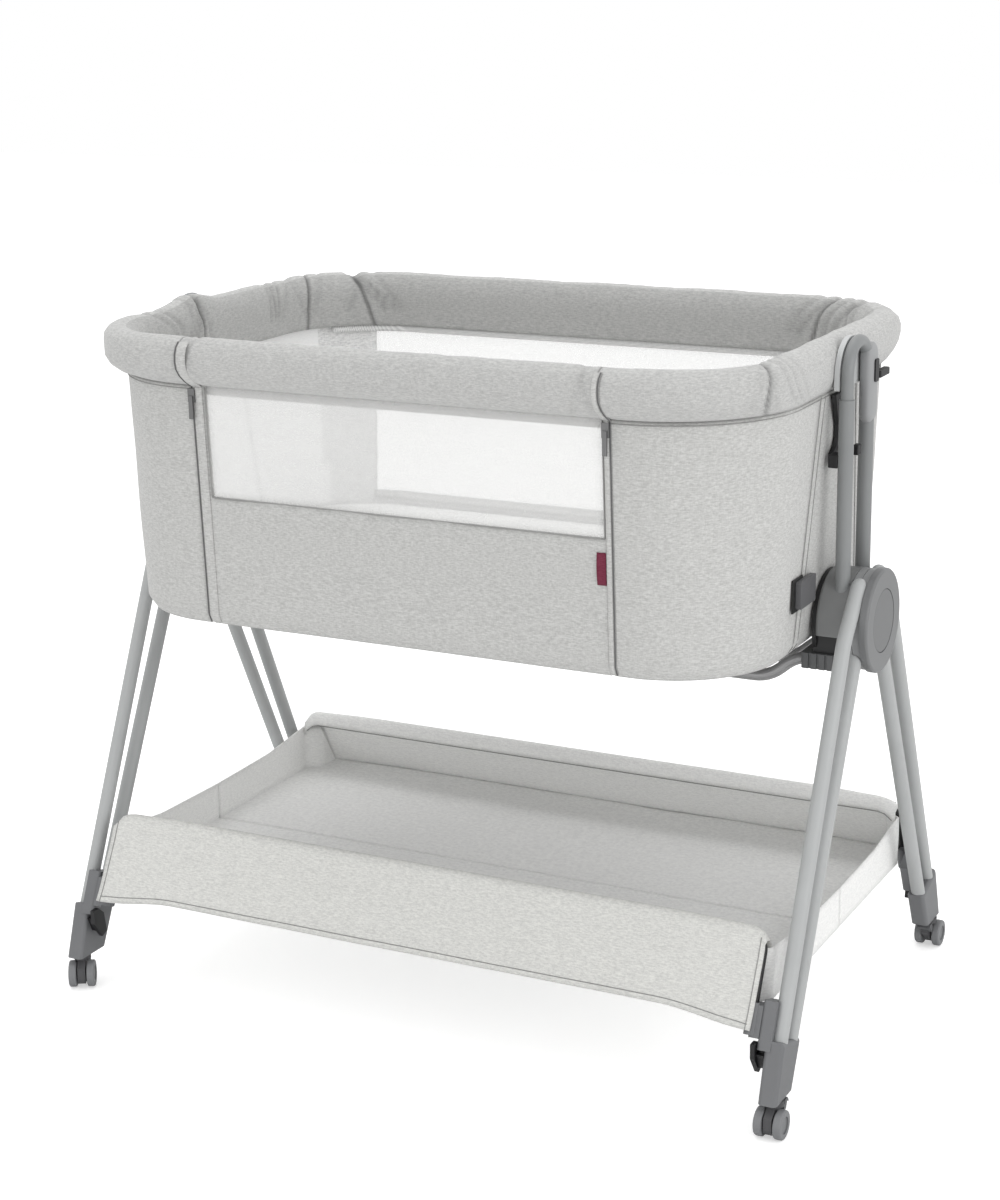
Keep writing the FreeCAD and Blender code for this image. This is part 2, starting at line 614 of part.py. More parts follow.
RIM = rim_ring()
RIM_FRONT = box((-FRONT_EDGE, FRONT_EDGE), (-400, 0), (700, 800))
RAIL_BOX = box((-DROP_EDGE, DROP_EDGE), (-400, 0), (700, 800))
DROP_RAIL = disc((-DROP_EDGE, DROP_EDGE), RIM_TUBE_RADIUS, -RIM_TUBE[1], RIM_TUBE[3])
RAIL_BORE = disc((-FRONT_EDGE, FRONT_EDGE), RIM_TUBE_RADIUS - RIM_TUBE_WALL, -RIM_TUBE[1], RIM_TUBE[3])
RIM_BAR = rim_tube_solid(RIM_TUBE_RADIUS)
save("rim_tube", RIM_BAR.cut(rim_tube_solid(RIM_TUBE_RADIUS - RIM_TUBE_WALL)))
save("rim_sleeve", RIM.cut([RIM_FRONT, RIM_BAR]))
save("drop_rail", DROP_RAIL.cut(RAIL_BORE))
save("drop_rail_sleeve", RIM.common(RAIL_BOX).cut(DROP_RAIL))
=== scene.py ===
import math

import bmesh
import bpy
from mathutils import Matrix, Vector, noise


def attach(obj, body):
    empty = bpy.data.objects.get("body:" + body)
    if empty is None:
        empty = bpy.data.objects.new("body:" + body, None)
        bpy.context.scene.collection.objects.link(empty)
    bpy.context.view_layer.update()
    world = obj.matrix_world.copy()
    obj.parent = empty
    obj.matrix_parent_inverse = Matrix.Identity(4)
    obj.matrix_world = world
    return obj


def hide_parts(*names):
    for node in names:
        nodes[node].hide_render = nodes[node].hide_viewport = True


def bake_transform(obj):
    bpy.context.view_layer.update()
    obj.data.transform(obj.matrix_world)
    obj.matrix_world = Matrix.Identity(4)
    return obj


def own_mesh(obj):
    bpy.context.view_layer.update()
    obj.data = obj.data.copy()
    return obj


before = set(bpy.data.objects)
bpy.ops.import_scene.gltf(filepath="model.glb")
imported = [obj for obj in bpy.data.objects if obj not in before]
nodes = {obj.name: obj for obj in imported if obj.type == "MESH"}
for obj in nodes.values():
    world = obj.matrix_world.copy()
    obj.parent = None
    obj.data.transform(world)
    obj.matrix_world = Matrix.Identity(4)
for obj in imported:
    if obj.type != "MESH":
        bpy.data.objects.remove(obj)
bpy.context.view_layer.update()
scene = bpy.context.scene

# ---------------------------------------------------------------- room and camera
# A plain white floor and room, soft lamps to the right, in front and above, and a camera
# standing to the right of the crib's front, above its rim.
CAMERA_PLACE = (1.197485, -2.349098, 1.177133)
CAMERA_FORWARD = Vector((-0.43981801, 0.85767458, -0.26637274))
CAMERA_UP = Vector((-0.10823458, 0.24381803, 0.96376244))
LENS_MM = 72.066
SENSOR_MM = 36.0
WHITE = (1, 1, 1, 1)
ROOM_LIGHT = 0.80
FLOOR_WHITE = (0.92, 0.92, 0.92, 1)
FLOOR_GLOW = 0.42
FLOOR_HALF = 9

camera_data = bpy.data.cameras.new("camera")
camera_data.lens = LENS_MM
camera_data.sensor_width = SENSOR_MM
camera = bpy.data.objects.new("camera", camera_data)
camera_right = CAMERA_FORWARD.cross(CAMERA_UP).normalized()
camera_up = camera_right.cross(CAMERA_FORWARD).normalized()
turn = Matrix((camera_right, camera_up, -CAMERA_FORWARD)).transposed().to_4x4()
camera.matrix_world = Matrix.Translation(CAMERA_PLACE) @ turn
scene.collection.objects.link(camera)
scene.camera = camera
scene.view_settings.view_transform = "Standard"


def srgb(*values):
    """A colour as the eye reads it, 0 to 255, for a shader socket."""
    linear = [v / 255 / 12.92 if v <= 10 else ((v / 255 + 0.055) / 1.055) ** 2.4 for v in values]
    return (*linear, 1.0)


def node(tree, kind, values=None, **traits):
    """A new shader node, with its traits set first and then the values of its inputs."""
    made = tree.nodes.new("ShaderNode" + kind)
    for name, value in traits.items():
        setattr(made, name, value)
    for name, value in (values or {}).items():
        made.inputs[name].default_value = value
    return made


def wire(tree, *wires):
    """Join nodes; each wire is a node, its output, the next node and its input."""
    for source, output, target, entry in wires:
        tree.links.new(source.outputs[output], target.inputs[entry])


def lamp(name, place, aim, size, watts):
    data = bpy.data.lights.new(name, "AREA")
    data.shape = "RECTANGLE"
    data.size, data.size_y = size
    data.energy = watts
    light = bpy.data.objects.new(name, data)
    light.location = place
    light.rotation_euler = (Vector(aim) - Vector(place)).to_track_quat("-Z", "Y").to_euler()
    scene.collection.objects.link(light)


lamp("right_lamp", (3.1, -0.7, 1.4), (0, 0, 0.4), (2.4, 1.8), 25)
lamp("front_lamp", (-0.4, -3.4, 0.95), (0, 0, 0.2), (3.0, 1.2), 14)
lamp("top_lamp", (-0.6, 0.3, 3.2), (0, 0, 0.5), (3.0, 3.0), 30)

room = bpy.data.worlds.new("room")
scene.world = room
room.use_nodes = True
room_tree = room.node_tree
room_tree.nodes.clear()
rays = node(room_tree, "LightPath")
seen = node(room_tree, "Math", operation="MAXIMUM")
seen_or_through = node(room_tree, "Math", operation="MAXIMUM")
soft_light = node(room_tree, "Background", {"Color": WHITE, "Strength": ROOM_LIGHT})
white_wall = node(room_tree, "Background", {"Color": WHITE, "Strength": 1.0})
pick = node(room_tree, "MixShader")
room_out = node(room_tree, "OutputWorld")
wire(room_tree, (rays, "Is Camera Ray", seen, 0), (rays, "Is Glossy Ray", seen, 1),
     (seen, 0, seen_or_through, 0), (rays, "Is Transmission Ray", seen_or_through, 1),
     (seen_or_through, 0, pick, 0), (soft_light, 0, pick, 1), (white_wall, 0, pick, 2),
     (pick, 0, room_out, "Surface"))


def new_material(name, roughness, metallic=0.0):
    """A named material with its Principled shader, ready for its grain."""
    material = bpy.data.materials.new(name)
    material.use_nodes = True
    shader = material.node_tree.nodes["Principled BSDF"]
    shader.inputs["Roughness"].default_value = roughness
    shader.inputs["Metallic"].default_value = metallic
    return material, material.node_tree, shader


def new_piece(name, shape):
    """Turn a finished shape into an object of the scene."""
    mesh = bpy.data.meshes.new(name)
    shape.to_mesh(mesh)
    shape.free()
    piece = bpy.data.objects.new(name, mesh)
    scene.collection.objects.link(piece)
    return piece


def grid_mesh(name, rows, outward=None, close_round=False, skip=None):
    """A mesh through rows of points. outward tells which way its first kept face looks."""
    shape = bmesh.new()
    made = [[shape.verts.new(p) for p in row] for row in rows]
    count = len(rows[0])
    last = count if close_round else count - 1
    for i in range(len(rows) - 1):
        for j in range(last):
            if skip and skip(i, j):
                continue
            k = (j + 1) % count
            shape.faces.new((made[i][j], made[i + 1][j], made[i + 1][k], made[i][k]))
    loose = [v for v in shape.verts if not v.link_faces]
    bmesh.ops.delete(shape, geom=loose, context="VERTS")
    shape.normal_update()
    if outward is not None:
        shape.faces.ensure_lookup_table()
        if shape.faces[0].normal.dot(Vector(outward)) < 0:
            bmesh.ops.reverse_faces(shape, faces=shape.faces)
    for face in shape.faces:
        face.smooth = True
    return new_piece(name, shape)


floor_edges = [[(x * FLOOR_HALF, y * FLOOR_HALF, 0) for x in (-1, 1)] for y in (-1, 1)]
floor = grid_mesh("floor", floor_edges, (0, 0, 1))
floor_white, floor_tree, floor_shader = new_material("floor_white", 0.9)
floor_shader.inputs["Base Color"].default_value = FLOOR_WHITE
floor_shader.inputs["Emission Color"].default_value = WHITE
floor_rays = node(floor_tree, "LightPath")
floor_glow = node(floor_tree, "Math", {1: FLOOR_GLOW}, operation="MULTIPLY")
wire(floor_tree, (floor_rays, "Is Camera Ray", floor_glow, 0),
     (floor_glow, 0, floor_shader, "Emission Strength"))
floor.data.materials.append(floor_white)

# ---------------------------------------------------------------- hub drums
# The drum at each end is moulded in dark grey plastic, with a disc over the leg rings and
# a round push button in the disc's middle. The mouldings are finely grained.
MOULDING_RELIEF = 0.0004


def effect_group(name, entry, exits):
    """A shared node group: one number in, masks out, and the object's own coordinates inside."""
    tree = bpy.data.node_groups.new(name, "ShaderNodeTree")
    tree.interface.new_socket(entry, in_out="INPUT", socket_type="NodeSocketFloat")
    for way_out in exits:
        tree.interface.new_socket(way_out, in_out="OUTPUT", socket_type="NodeSocketFloat")
    group_in, group_out = tree.nodes.new("NodeGroupInput"), tree.nodes.new("NodeGroupOutput")
    return tree, group_in, group_out, node(tree, "TexCoord")


moulding_grain, grain_in, grain_out, grain_place = effect_group(
    "moulding_grain", "Size", ("Blotch", "Height"))
grain_fine = node(moulding_grain, "TexNoise", {"Detail": 3})
grain_broad = node(moulding_grain, "TexNoise", {"Scale": 14, "Detail": 4})
wire(moulding_grain, (grain_place, "Object", grain_fine, "Vector"),
     (grain_place, "Object", grain_broad, "Vector"), (grain_in, "Size", grain_fine, "Scale"),
     (grain_broad, "Fac", grain_out, "Blotch"), (grain_fine, "Fac", grain_out, "Height"))


def finish_nodes(material, *names):
    """Give CAD nodes their real finish."""
    for name in names:
        slots = nodes[name].material_slots
        for place in slots:
            place.material = material
        if not slots:
            nodes[name].data.materials.append(material)


def plain_finish(name, dark, light, rough, *wearers, grain=900, bump=0.12, metallic=0.0):
    """Moulded plastic or metal, blotched and finely grained; wearers are CAD nodes it goes on."""
    material, tree, shader = new_material(name, rough[0], metallic)
    effect = node(tree, "Group", {"Size": grain}, node_tree=moulding_grain)
    shade = node(tree, "Mix", {"A": srgb(*dark), "B": srgb(*light)}, data_type="RGBA")
    gloss = node(tree, "MapRange", {"To Min": rough[0], "To Max": rough[1]})
    raised = node(tree, "Bump", {"Strength": bump, "Distance": MOULDING_RELIEF})
    wire(tree, (effect, "Blotch", shade, "Factor"), (effect, "Blotch", gloss, "Value"),
         (effect, "Height", raised, "Height"), (shade, "Result", shader, "Base Color"),
         (gloss, "Result", shader, "Roughness"), (raised, "Normal", shader, "Normal"))
    finish_nodes(material, *wearers)
    return material


plain_finish("drum_plastic", (114, 115, 115), (126, 127, 127), (0.42, 0.55),
             "hub_housing_left", "hub_housing_right")
plain_finish("disc_plastic", (108, 109, 110), (120, 121, 122), (0.38, 0.5), "hub_covers")
plain_finish("button_plastic", (100, 101, 102), (112, 113, 114), (0.4, 0.5),
             "fold_button_left", "fold_button_right")
plain_finish("black_steel", (10, 10, 11), (20, 20, 22), (0.35, 0.5),
             "hub_brackets", "basket_rod_front", "basket_rod_rear", grain=500)
black_plastic = plain_finish("black_plastic", (16, 16, 18), (28, 28, 30), (0.42, 0.55),
                             "height_button_left", "height_button_right",
                             "rod_catches_front", "rod_catches_rear")
plain_finish("pin_steel", (150, 150, 150), (190, 190, 190), (0.28, 0.4),
             "hub_pins", "rim_tube", "drop_rail", grain=700, bump=0.08, metallic=1.0)
plain_finish("clamp_plastic", (74, 75, 76), (92, 93, 94), (0.38, 0.5), "cross_tube_clamps")

# ---------------------------------------------------------------- cross tubes, posts and arches
# Drawn steel tube, powder coated grey. The two cross tubes under the crib are glossier, and
# each arch slides in its pair of posts, held by the oval grey lock on the rear post.
LOCK_LOW = 0.6795
LOCK_TALL = 0.0860
LOCK_END = 0.013                 # height of each rounded end
LOCK_X = 0.4127
LOCK_HALF_X = 0.0080
LOCK_HALF_Y = 0.0132
LOCK_SQUARENESS = 2.6            # 2 would be an ellipse, more is squarer
LOCK_BLUNT = 0.0006              # half depth left at its very ends
LOCK_TAPER = 0.45                # how much narrower it gets there
LOCK_RINGS = 28
LOCK_SIDES = 40
REAR_POST_Y = 0.032
HANDS = (("left", -1), ("right", 1))

plain_finish("cross_paint", (138, 138, 139), (160, 160, 160), (0.2, 0.3),
             "cross_tubes", grain=400, bump=0.05, metallic=0.3)
plain_finish("post_paint", (126, 128, 129), (138, 140, 140), (0.36, 0.48),
             "post_tubes", "sliding_arch_left", "sliding_arch_right", grain=1200, bump=0.1)
plain_finish("plate_paint", (186, 188, 188), (198, 199, 199), (0.36, 0.48),
             "arch_plates", grain=1200, bump=0.1)
lock_plastic = plain_finish("lock_plastic", (148, 149, 150), (158, 159, 160), (0.4, 0.52))


def circle(count):
    """Angles of so many equal steps once round."""
    return [2 * math.pi * i / count for i in range(count)]


def moulded(name, rings, material, worn=0.0, smooth_ends=False):
    """A closed piece through rings of points, both ends filled, its edges worn round."""
    piece = grid_mesh(name, rings, close_round=True)
    piece.data.materials.append(material)
    shape = bmesh.new()
    shape.from_mesh(piece.data)
    bmesh.ops.holes_fill(shape, edges=[e for e in shape.edges if e.is_boundary], sides=0)
    bmesh.ops.recalc_face_normals(shape, faces=shape.faces)
    if smooth_ends:
        for face in shape.faces:
            face.smooth = True
    if worn:
        bmesh.ops.bevel(shape, geom=list(shape.edges), offset=worn, segments=2, affect="EDGES", profile=0.5)
    shape.to_mesh(piece.data)
    shape.free()
    return piece


def settle(piece, body, stands_for=None):
    """Hang the piece on the body that carries it, and hide the CAD node it stands for."""
    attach(piece, body)
    if stands_for:
        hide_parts(stands_for)


def lock_ring(sx, z):
    """One level of the lock's housing: a squarish oval that draws in at both ends."""
    short = 1 - min(1.0, min(z - LOCK_LOW, LOCK_LOW + LOCK_TALL - z) / LOCK_END)
    half_y = LOCK_HALF_Y * math.sqrt(max(0.0, 1 - short ** 2)) + LOCK_BLUNT
    half_x = LOCK_HALF_X * (1 - LOCK_TAPER * short ** 2)
    ring = []
    for a in circle(LOCK_SIDES):
        power = LOCK_SQUARENESS
        reach = (abs(math.cos(a)) ** power + abs(math.sin(a)) ** power) ** (-1 / power)
        x = sx * (LOCK_X + half_x * reach * math.cos(a))
        ring.append((x, REAR_POST_Y + half_y * reach * math.sin(a), z))
    return ring


for hand, sx in HANDS:
    lock_rings = []
    for k in range(LOCK_RINGS + 1):
        lock_rings.append(lock_ring(sx, LOCK_LOW + LOCK_TALL * (1 - math.cos(math.pi * k / LOCK_RINGS)) / 2))
    lock = moulded("height_lock_housing_" + hand, lock_rings, lock_plastic)
    settle(lock, "crib", "height_locks")

# ---------------------------------------------------------------- legs, feet and casters
# Each leg is two parallel grey tubes pressed into a plastic foot, and the outer one ends in a
# rounded tip that lies on the drum. Twin-wheel casters turn in the feet, with a brake pedal.
TIP_START = Vector((0.4295, -0.034, 0.519))
TIP_ALONG = Vector((0.0, 0.662, 0.750))
TIP_INWARD = Vector((0.0, 0.750, -0.662))
TIP_LENGTH = 0.0115
TIP_BEND = 0.003
TIP_LAP = 0.0004                 # how far the tip starts inside the tube
TIP_BLUNT = 0.03                 # share of the radius left at the very tip
TIP_STEPS = 8
TIP_SIDES = 24
TUBE_RADIUS = 0.0080
HUB_HEIGHT = 0.476
CLEAR_OF_DRUM = 0.0547

leg_paint = plain_finish("leg_paint", (166, 168, 168), (180, 182, 182), (0.36, 0.48),
                         "leg_tubes_front", "leg_tubes_rear", grain=1200, bump=0.1)
plain_finish("ring_plastic", (134, 135, 136), (150, 151, 152), (0.4, 0.52),
             "leg_rings_front", "leg_rings_rear")
foot_plastic = plain_finish("foot_plastic", (102, 103, 105), (118, 119, 121), (0.42, 0.56))
wheel_plastic = plain_finish("wheel_plastic", (112, 113, 115), (130, 131, 133), (0.45, 0.6),
                             grain=600, bump=0.2)
fork_plastic = plain_finish("fork_plastic", (62, 62, 64), (84, 84, 86), (0.45, 0.6))
pedal_plastic = plain_finish("pedal_plastic", (84, 85, 87), (100, 101, 103), (0.42, 0.55))


def tip_ring(sx, sy, step):
    """One turn of a leg tube's tip, pushed out wherever it would sink into the drum."""
    share = math.sin(math.pi / 2 * step / TIP_STEPS)
    radius = TUBE_RADIUS * max(math.sqrt(1 - share ** 2), TIP_BLUNT)
    centre = TIP_START + TIP_ALONG * (TIP_LENGTH * share - TIP_LAP) + TIP_INWARD * TIP_BEND * share ** 2
    ring = []
    for a in circle(TIP_SIDES):
        x, y, z = centre + Vector((1, 0, 0)) * radius * math.cos(a) + TIP_INWARD * radius * math.sin(a)
        push = max(1.0, CLEAR_OF_DRUM / math.hypot(y, z - HUB_HEIGHT))
        ring.append((sx * x, sy * y * push, HUB_HEIGHT + (z - HUB_HEIGHT) * push))
    return ring


for which, sy in (("front", 1), ("rear", -1)):
    for hand, sx in HANDS:
        corner = "_" + which + "_" + hand
        for part, material in (("foot", foot_plastic), ("caster_wheels", wheel_plastic),
                               ("caster_fork", fork_plastic), ("brake_pedal", pedal_plastic)):
            finish_nodes(material, part + corner)
        tip_rings = [tip_ring(sx, sy, step) for step in range(TIP_STEPS + 1)]
        settle(moulded("leg_tube_tip" + corner, tip_rings, leg_paint), which + "_legs")

# ---------------------------------------------------------------- basket
# A shallow tray of grey cloth. Its front and back edges are hemmed round bent steel rods,
# the flaps lean out to the feet, and floor and sides are one soft piece.
BASKET_HALF = 0.4028
FLAP_LINE = ((0.2026, 0.1835), (0.2018, 0.194), (0.2042, 0.1995), (0.2095, 0.2018), (0.2150, 0.1995),
             (0.2187, 0.193), (0.2245, 0.181), (0.2317, 0.168), (0.2389, 0.155), (0.2461, 0.142),
             (0.2533, 0.1295), (0.2592, 0.1205), (0.2632, 0.1155))
FLAP_SLOPE = 0.577               # how far the flap leans out for each step down
FLAP_THICK = 0.002
FLAP_WAVE = 0.0014
FLAP_TUCK = 0.002                # its lower edge is drawn in and up along the middle
FLAP_RISE = 0.004
FLAP_CORNER_DROP = 0.006
HEM_STEP = 3                     # the flap's line lies on top of the rod here
LOW_STITCH_STEP = 11
STITCH_RADIUS = 0.0006
STITCH_INSET = 0.004
ROD_STRAIGHT = 0.380             # half length of the rod between its bends
ROD_BEND = 0.024
BEND_REACH = 0.0234
CORNER_START = 0.30              # distance from the middle where the corners begin
CORNER_LONG = 0.10
FLOOR_Z = 0.1195
TRAY_HALF = 0.4065
FOOT_ROOM = 0.0175               # the tray is this much narrower between the feet
FOOT_FROM = 0.208
TRAY_DEPTH = 0.2583
TRAY_THICK = 0.0022
TRAY_LINES = 40
TRAY_WALL_STEPS = 6
TRAY_FLOOR_STEPS = 64
WALL_LOW_TOP = 0.166
DIP_HALF = 0.12                  # the side wall is nearly level this far from the middle
DIP_RISE = 0.002
SIDE_RISE = 0.010                # from there it climbs towards the foot
SIDE_RISE_LONG = 0.085
CUT_START = (0.2185, 0.193)      # and is cut off along the flap, y and height
CUT_SLOPE = 1.734
CUT_BELOW = 0.014
TRAY_END = 0.2545
TRAY_WAVE = 0.0012
CLOTH_RELIEF = 0.0006

heather, heather_in, heather_out, heather_place = effect_group("heather", "Threads", ("Fleck", "Height"))
thread_noises = []
for stretch in ((0.30, 0.30, 1.15), (1.3, 1.3, 0.4)):
    lie = node(heather, "VectorMath", {1: stretch}, operation="MULTIPLY")
    threads = node(heather, "TexNoise", {"Detail": 4, "Roughness": 0.62})
    wire(heather, (heather_place, "Object", lie, 0), (lie, 0, threads, "Vector"),
         (heather_in, "Threads", threads, "Scale"))
    thread_noises.append(threads)
crossed = node(heather, "Mix", {"Factor": 0.30})
fleck = node(heather, "MapRange", {"From Min": 0.38, "From Max": 0.62})
wire(heather, (thread_noises[0], "Fac", crossed, "A"), (thread_noises[1], "Fac", crossed, "B"),
     (crossed, "Result", fleck, "Value"), (fleck, "Result", heather_out, "Fleck"),
     (crossed, "Result", heather_out, "Height"))


def cloth(name, dark, light, threads=460, bump=0.5, sheen=0.25):
    """Woven cloth: flecked threads, a soft sheen, and darker seams and painted shade in folds where the piece
    says so.
    """
    material, tree, shader = new_material(name, 0.92)
    shader.inputs["Specular IOR Level"].default_value = 0.15
    shader.inputs["Sheen Weight"].default_value = sheen
    shader.inputs["Sheen Roughness"].default_value = 0.5
    effect = node(tree, "Group", {"Threads": threads}, node_tree=heather)
    colour = node(tree, "Mix", {"A": srgb(*dark), "B": srgb(*light)}, data_type="RGBA")
    seam_and_fold_shade = node(tree, "Attribute", attribute_name="seam_and_fold_shade")
    # the layer darkens sewn seams and also paints shade into the rim sleeves' folds
    seam_and_shade_darkened = node(tree, "Mix", {"B": [c * 0.25 for c in srgb(*dark)[:3]] + [1]}, data_type="RGBA")
    raised = node(tree, "Bump", {"Strength": bump, "Distance": CLOTH_RELIEF})
    wire(tree, (effect, "Fleck", colour, "Factor"), (colour, "Result", seam_and_shade_darkened, "A"),
         (seam_and_fold_shade, "Fac", seam_and_shade_darkened, "Factor"), (seam_and_shade_darkened, "Result", shader, "Base Color"),
         (effect, "Height", raised, "Height"), (raised, "Normal", shader, "Normal"))
    return material


def sew(piece, thickness, *cloths):
    """Give a sheet its thickness, inwards from the face that shows, and its cloth or cloths."""
    for material in cloths:
        piece.data.materials.append(material)
    layer = piece.modifiers.new("thickness", "SOLIDIFY")
    layer.thickness = thickness
    layer.offset = -1
    layer.material_offset = 1 if len(cloths) > 1 else 0
    layer.material_offset_rim = 0


def face_outwards(piece, outward):
    """Turn a sheet round where the face in its middle looks the wrong way."""
    middle = piece.data.polygons[len(piece.data.polygons) // 2]
    if middle.normal.dot(Vector(outward)) < 0:
        piece.data.flip_normals()


def uneven(*place):
    """A soft random height, between about -1 and 1, that only depends on the place."""
    return noise.noise(Vector(place))


def ease(t):
    t = min(1.0, max(0.0, t))
    return t * t * (3 - 2 * t)


def rod_bend_drop(x):
    """How far the rod, bent down towards the foot, has dropped at this distance along it."""
    beyond = min(BEND_REACH, max(0.0, abs(x) - ROD_STRAIGHT))
    return ROD_BEND - math.sqrt(ROD_BEND ** 2 - beyond ** 2)


def flap_point(x, step, y_side):
    """One point of the flap: hemmed over the rod, then leaning out, lower at its corners."""
    y, z = FLAP_LINE[step]
    low = step / (len(FLAP_LINE) - 1)
    corner = ease((abs(x) - CORNER_START) / CORNER_LONG)
    drop = rod_bend_drop(x) * (1 - low)
    out = FLAP_SLOPE * drop * (0.0 if step < HEM_STEP else 0.5 if step == HEM_STEP else 1.0)
    out += FLAP_WAVE * uneven(x * 9, y * 14, 3.1 * y_side) * low - FLAP_TUCK * low * (1 - corner)
    z += FLAP_RISE * low * (1 - corner) - FLAP_CORNER_DROP * low * corner - drop
    return x, y_side * (y + out), z


def basket_flap(which, y_side):
    columns = [-BASKET_HALF + 2 * BASKET_HALF * i / 120 for i in range(121)]
    rows = [[flap_point(x, step, y_side) for x in columns] for step in range(len(FLAP_LINE))]
    return grid_mesh("basket_flap_" + which, rows)


def wall_top(y):
    """Height of the basket's side wall, dipping in the middle and cut off under the flap."""
    if y < DIP_HALF:
        top = WALL_LOW_TOP + DIP_RISE * y / DIP_HALF
    else:
        top = WALL_LOW_TOP + DIP_RISE + SIDE_RISE * min(1.0, (y - DIP_HALF) / SIDE_RISE_LONG)
    cut = CUT_START[1] - CUT_SLOPE * (y - CUT_START[0]) - CUT_BELOW
    return max(FLOOR_Z + 0.0012, min(top, cut))


def tray_wall(side, half, y, y_side):
    """One side wall of the basket on a line across it, from its top to the floor's edge."""
    top = wall_top(y)
    wall = []
    for i in range(TRAY_WALL_STEPS + 1):
        f = i / TRAY_WALL_STEPS
        z = top + (FLOOR_Z + 0.0008 - top) * f
        bow = TRAY_WAVE * math.sin(math.pi * f) * uneven(y * 12, z * 20, side)
        wall.append((side * (half - 0.0004 * f + bow), y_side * min(y, TRAY_END), z))
    return wall + [(side * (half - 0.0030), y_side * min(y, TRAY_END - 0.0005), FLOOR_Z - 0.0004)]


def tray_floor(half, y, y_side):
    """The floor on a line across the basket, sagging softly and drawn in at its corners."""
    line = []
    for i in range(1, TRAY_FLOOR_STEPS):
        x = (half - 0.005) * (2 * i / TRAY_FLOOR_STEPS - 1)
        sag = TRAY_WAVE * uneven(x * 6, y * 8, 7.7) + TRAY_WAVE / 2 * uneven(x * 20, y * 26, 1.2)
        drawn = 1 - 0.020 * ease((abs(x) - CORNER_START) / 0.09) * ease((y - 0.15) / 0.1)
        line.append((x, y_side * y * drawn, FLOOR_Z + sag * min(1.0, y / 0.02)))
    return line


def basket_tray(which, y_side):
    """Half of the floor with its share of both side walls, as one sagging sheet."""
    rows = []
    for step in range(TRAY_LINES + 1):
        y = 0.0002 + TRAY_DEPTH * step / TRAY_LINES
        half = TRAY_HALF - FOOT_ROOM * ease((y - FOOT_FROM) / 0.012)
        right_wall = tray_wall(1, half, y, y_side)[::-1]
        rows.append(tray_wall(-1, half, y, y_side) + tray_floor(half, y, y_side) + right_wall)
    return grid_mesh("basket_tray_" + which, rows)


def tube_mesh(name, lines, radius, material, sides=6):
    """Round sewing thread or piping along one or more lines of points, as one mesh."""
    shape = bmesh.new()
    for line in lines:
        line = [Vector(p) for p in line]
        rings = []
        for k, here in enumerate(line):
            ahead = (line[min(k + 1, len(line) - 1)] - line[max(k - 1, 0)]).normalized()
            across = ahead.cross(Vector((0.31, 0.17, 0.93))).normalized()
            above = ahead.cross(across)
            rings.append([shape.verts.new(here + radius * (math.cos(a) * across + math.sin(a) * above))
                          for a in circle(sides)])
        for one, other in zip(rings, rings[1:]):
            for i in range(sides):
                k = (i + 1) % sides
                shape.faces.new((one[i], one[k], other[k], other[i]))
        shape.faces.new(rings[0][::-1])
        shape.faces.new(rings[-1])
    for face in shape.faces:
        face.smooth = True
    bmesh.ops.recalc_face_normals(shape, faces=shape.faces)
    piece = new_piece(name, shape)
    piece.data.materials.append(material)
    return piece


def flap_stitches(y_side):
    """Thread under the hem on the inside, along the flap's lower edge and down both ends."""
    half = BASKET_HALF - STITCH_INSET
    xs = [-half + 2 * half * i / 90 for i in range(91)]
    lines = []
    for step, proud in ((0, -0.0002), (LOW_STITCH_STEP, 0.0001)):
        points = [flap_point(x, step, y_side) for x in xs]
        lines.append([(px, py + y_side * proud, pz) for px, py, pz in points])
    for x in (-BASKET_HALF + 0.005, BASKET_HALF - 0.005):
        points = [flap_point(x, step, y_side) for step in range(HEM_STEP + 1, len(FLAP_LINE))]
        lines.append([(px, py + y_side * 0.0001, pz) for px, py, pz in points])
    return lines


basket_cloth = cloth("basket_cloth", (198, 198, 195), (224, 224, 220), 640)
# a lighter copy of the basket cloth: painted light on the tray and rear flap, where the crib shades them
basket_cloth_painted_light = cloth("basket_cloth_painted_light", (232, 232, 231), (250, 250, 248), 700)
seam_thread = cloth("seam_thread", (140, 140, 139), (158, 158, 156), 900, 0.2, 0.1)
for which, y_side in (("front", -1), ("rear", 1)):
    legs = which + "_legs"
    flap = basket_flap(which, y_side)
    face_outwards(flap, (0, y_side, 0))
    # the rear flap takes the lighter copy: painted light
    sew(flap, FLAP_THICK, basket_cloth if which == "front" else basket_cloth_painted_light)
    settle(flap, legs)
    tray = basket_tray(which, y_side)
    face_outwards(tray, (0, 0, -1))
    sew(tray, TRAY_THICK, basket_cloth_painted_light)
    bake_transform(tray)
    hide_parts("basket_" + which)
    stitches = tube_mesh("basket_stitches_" + which, flap_stitches(y_side), STITCH_RADIUS, seam_thread)
    settle(stitches, legs)

# ---------------------------------------------------------------- crib walls
# Padded cloth walls, cut as two front corners, two ends, a back with a mesh window and the
# dropping front. Outside is flecked grey cloth, inside a white lining; they lean outwards.
FLOOR_LINE = (0.374, 0.234, 0.117, 0.455)      # half length, half depth, corner radius, height
TURN_LINE = (0.381, 0.2395, 0.122, 0.466)
TOP_LINE = (0.3915, 0.252, 0.138, 0.722)
WALL_TOP = TOP_LINE[3]
WALL_FOOT = [0.455, 0.4575, 0.461, 0.466]      # close-set heights round the turn at the bottom
WALL_THICK = 0.0034
SEAM_LOW = 0.097
SEAM_HIGH = 0.054
ZIP_X = 0.2425
CORNER_STEPS = 26
BACK_MESH_X = 0.300
BACK_MESH_LOW = 0.498
KNIT_CORNER_Y = 0.199            # beyond this the back is lined with knit and not with cloth


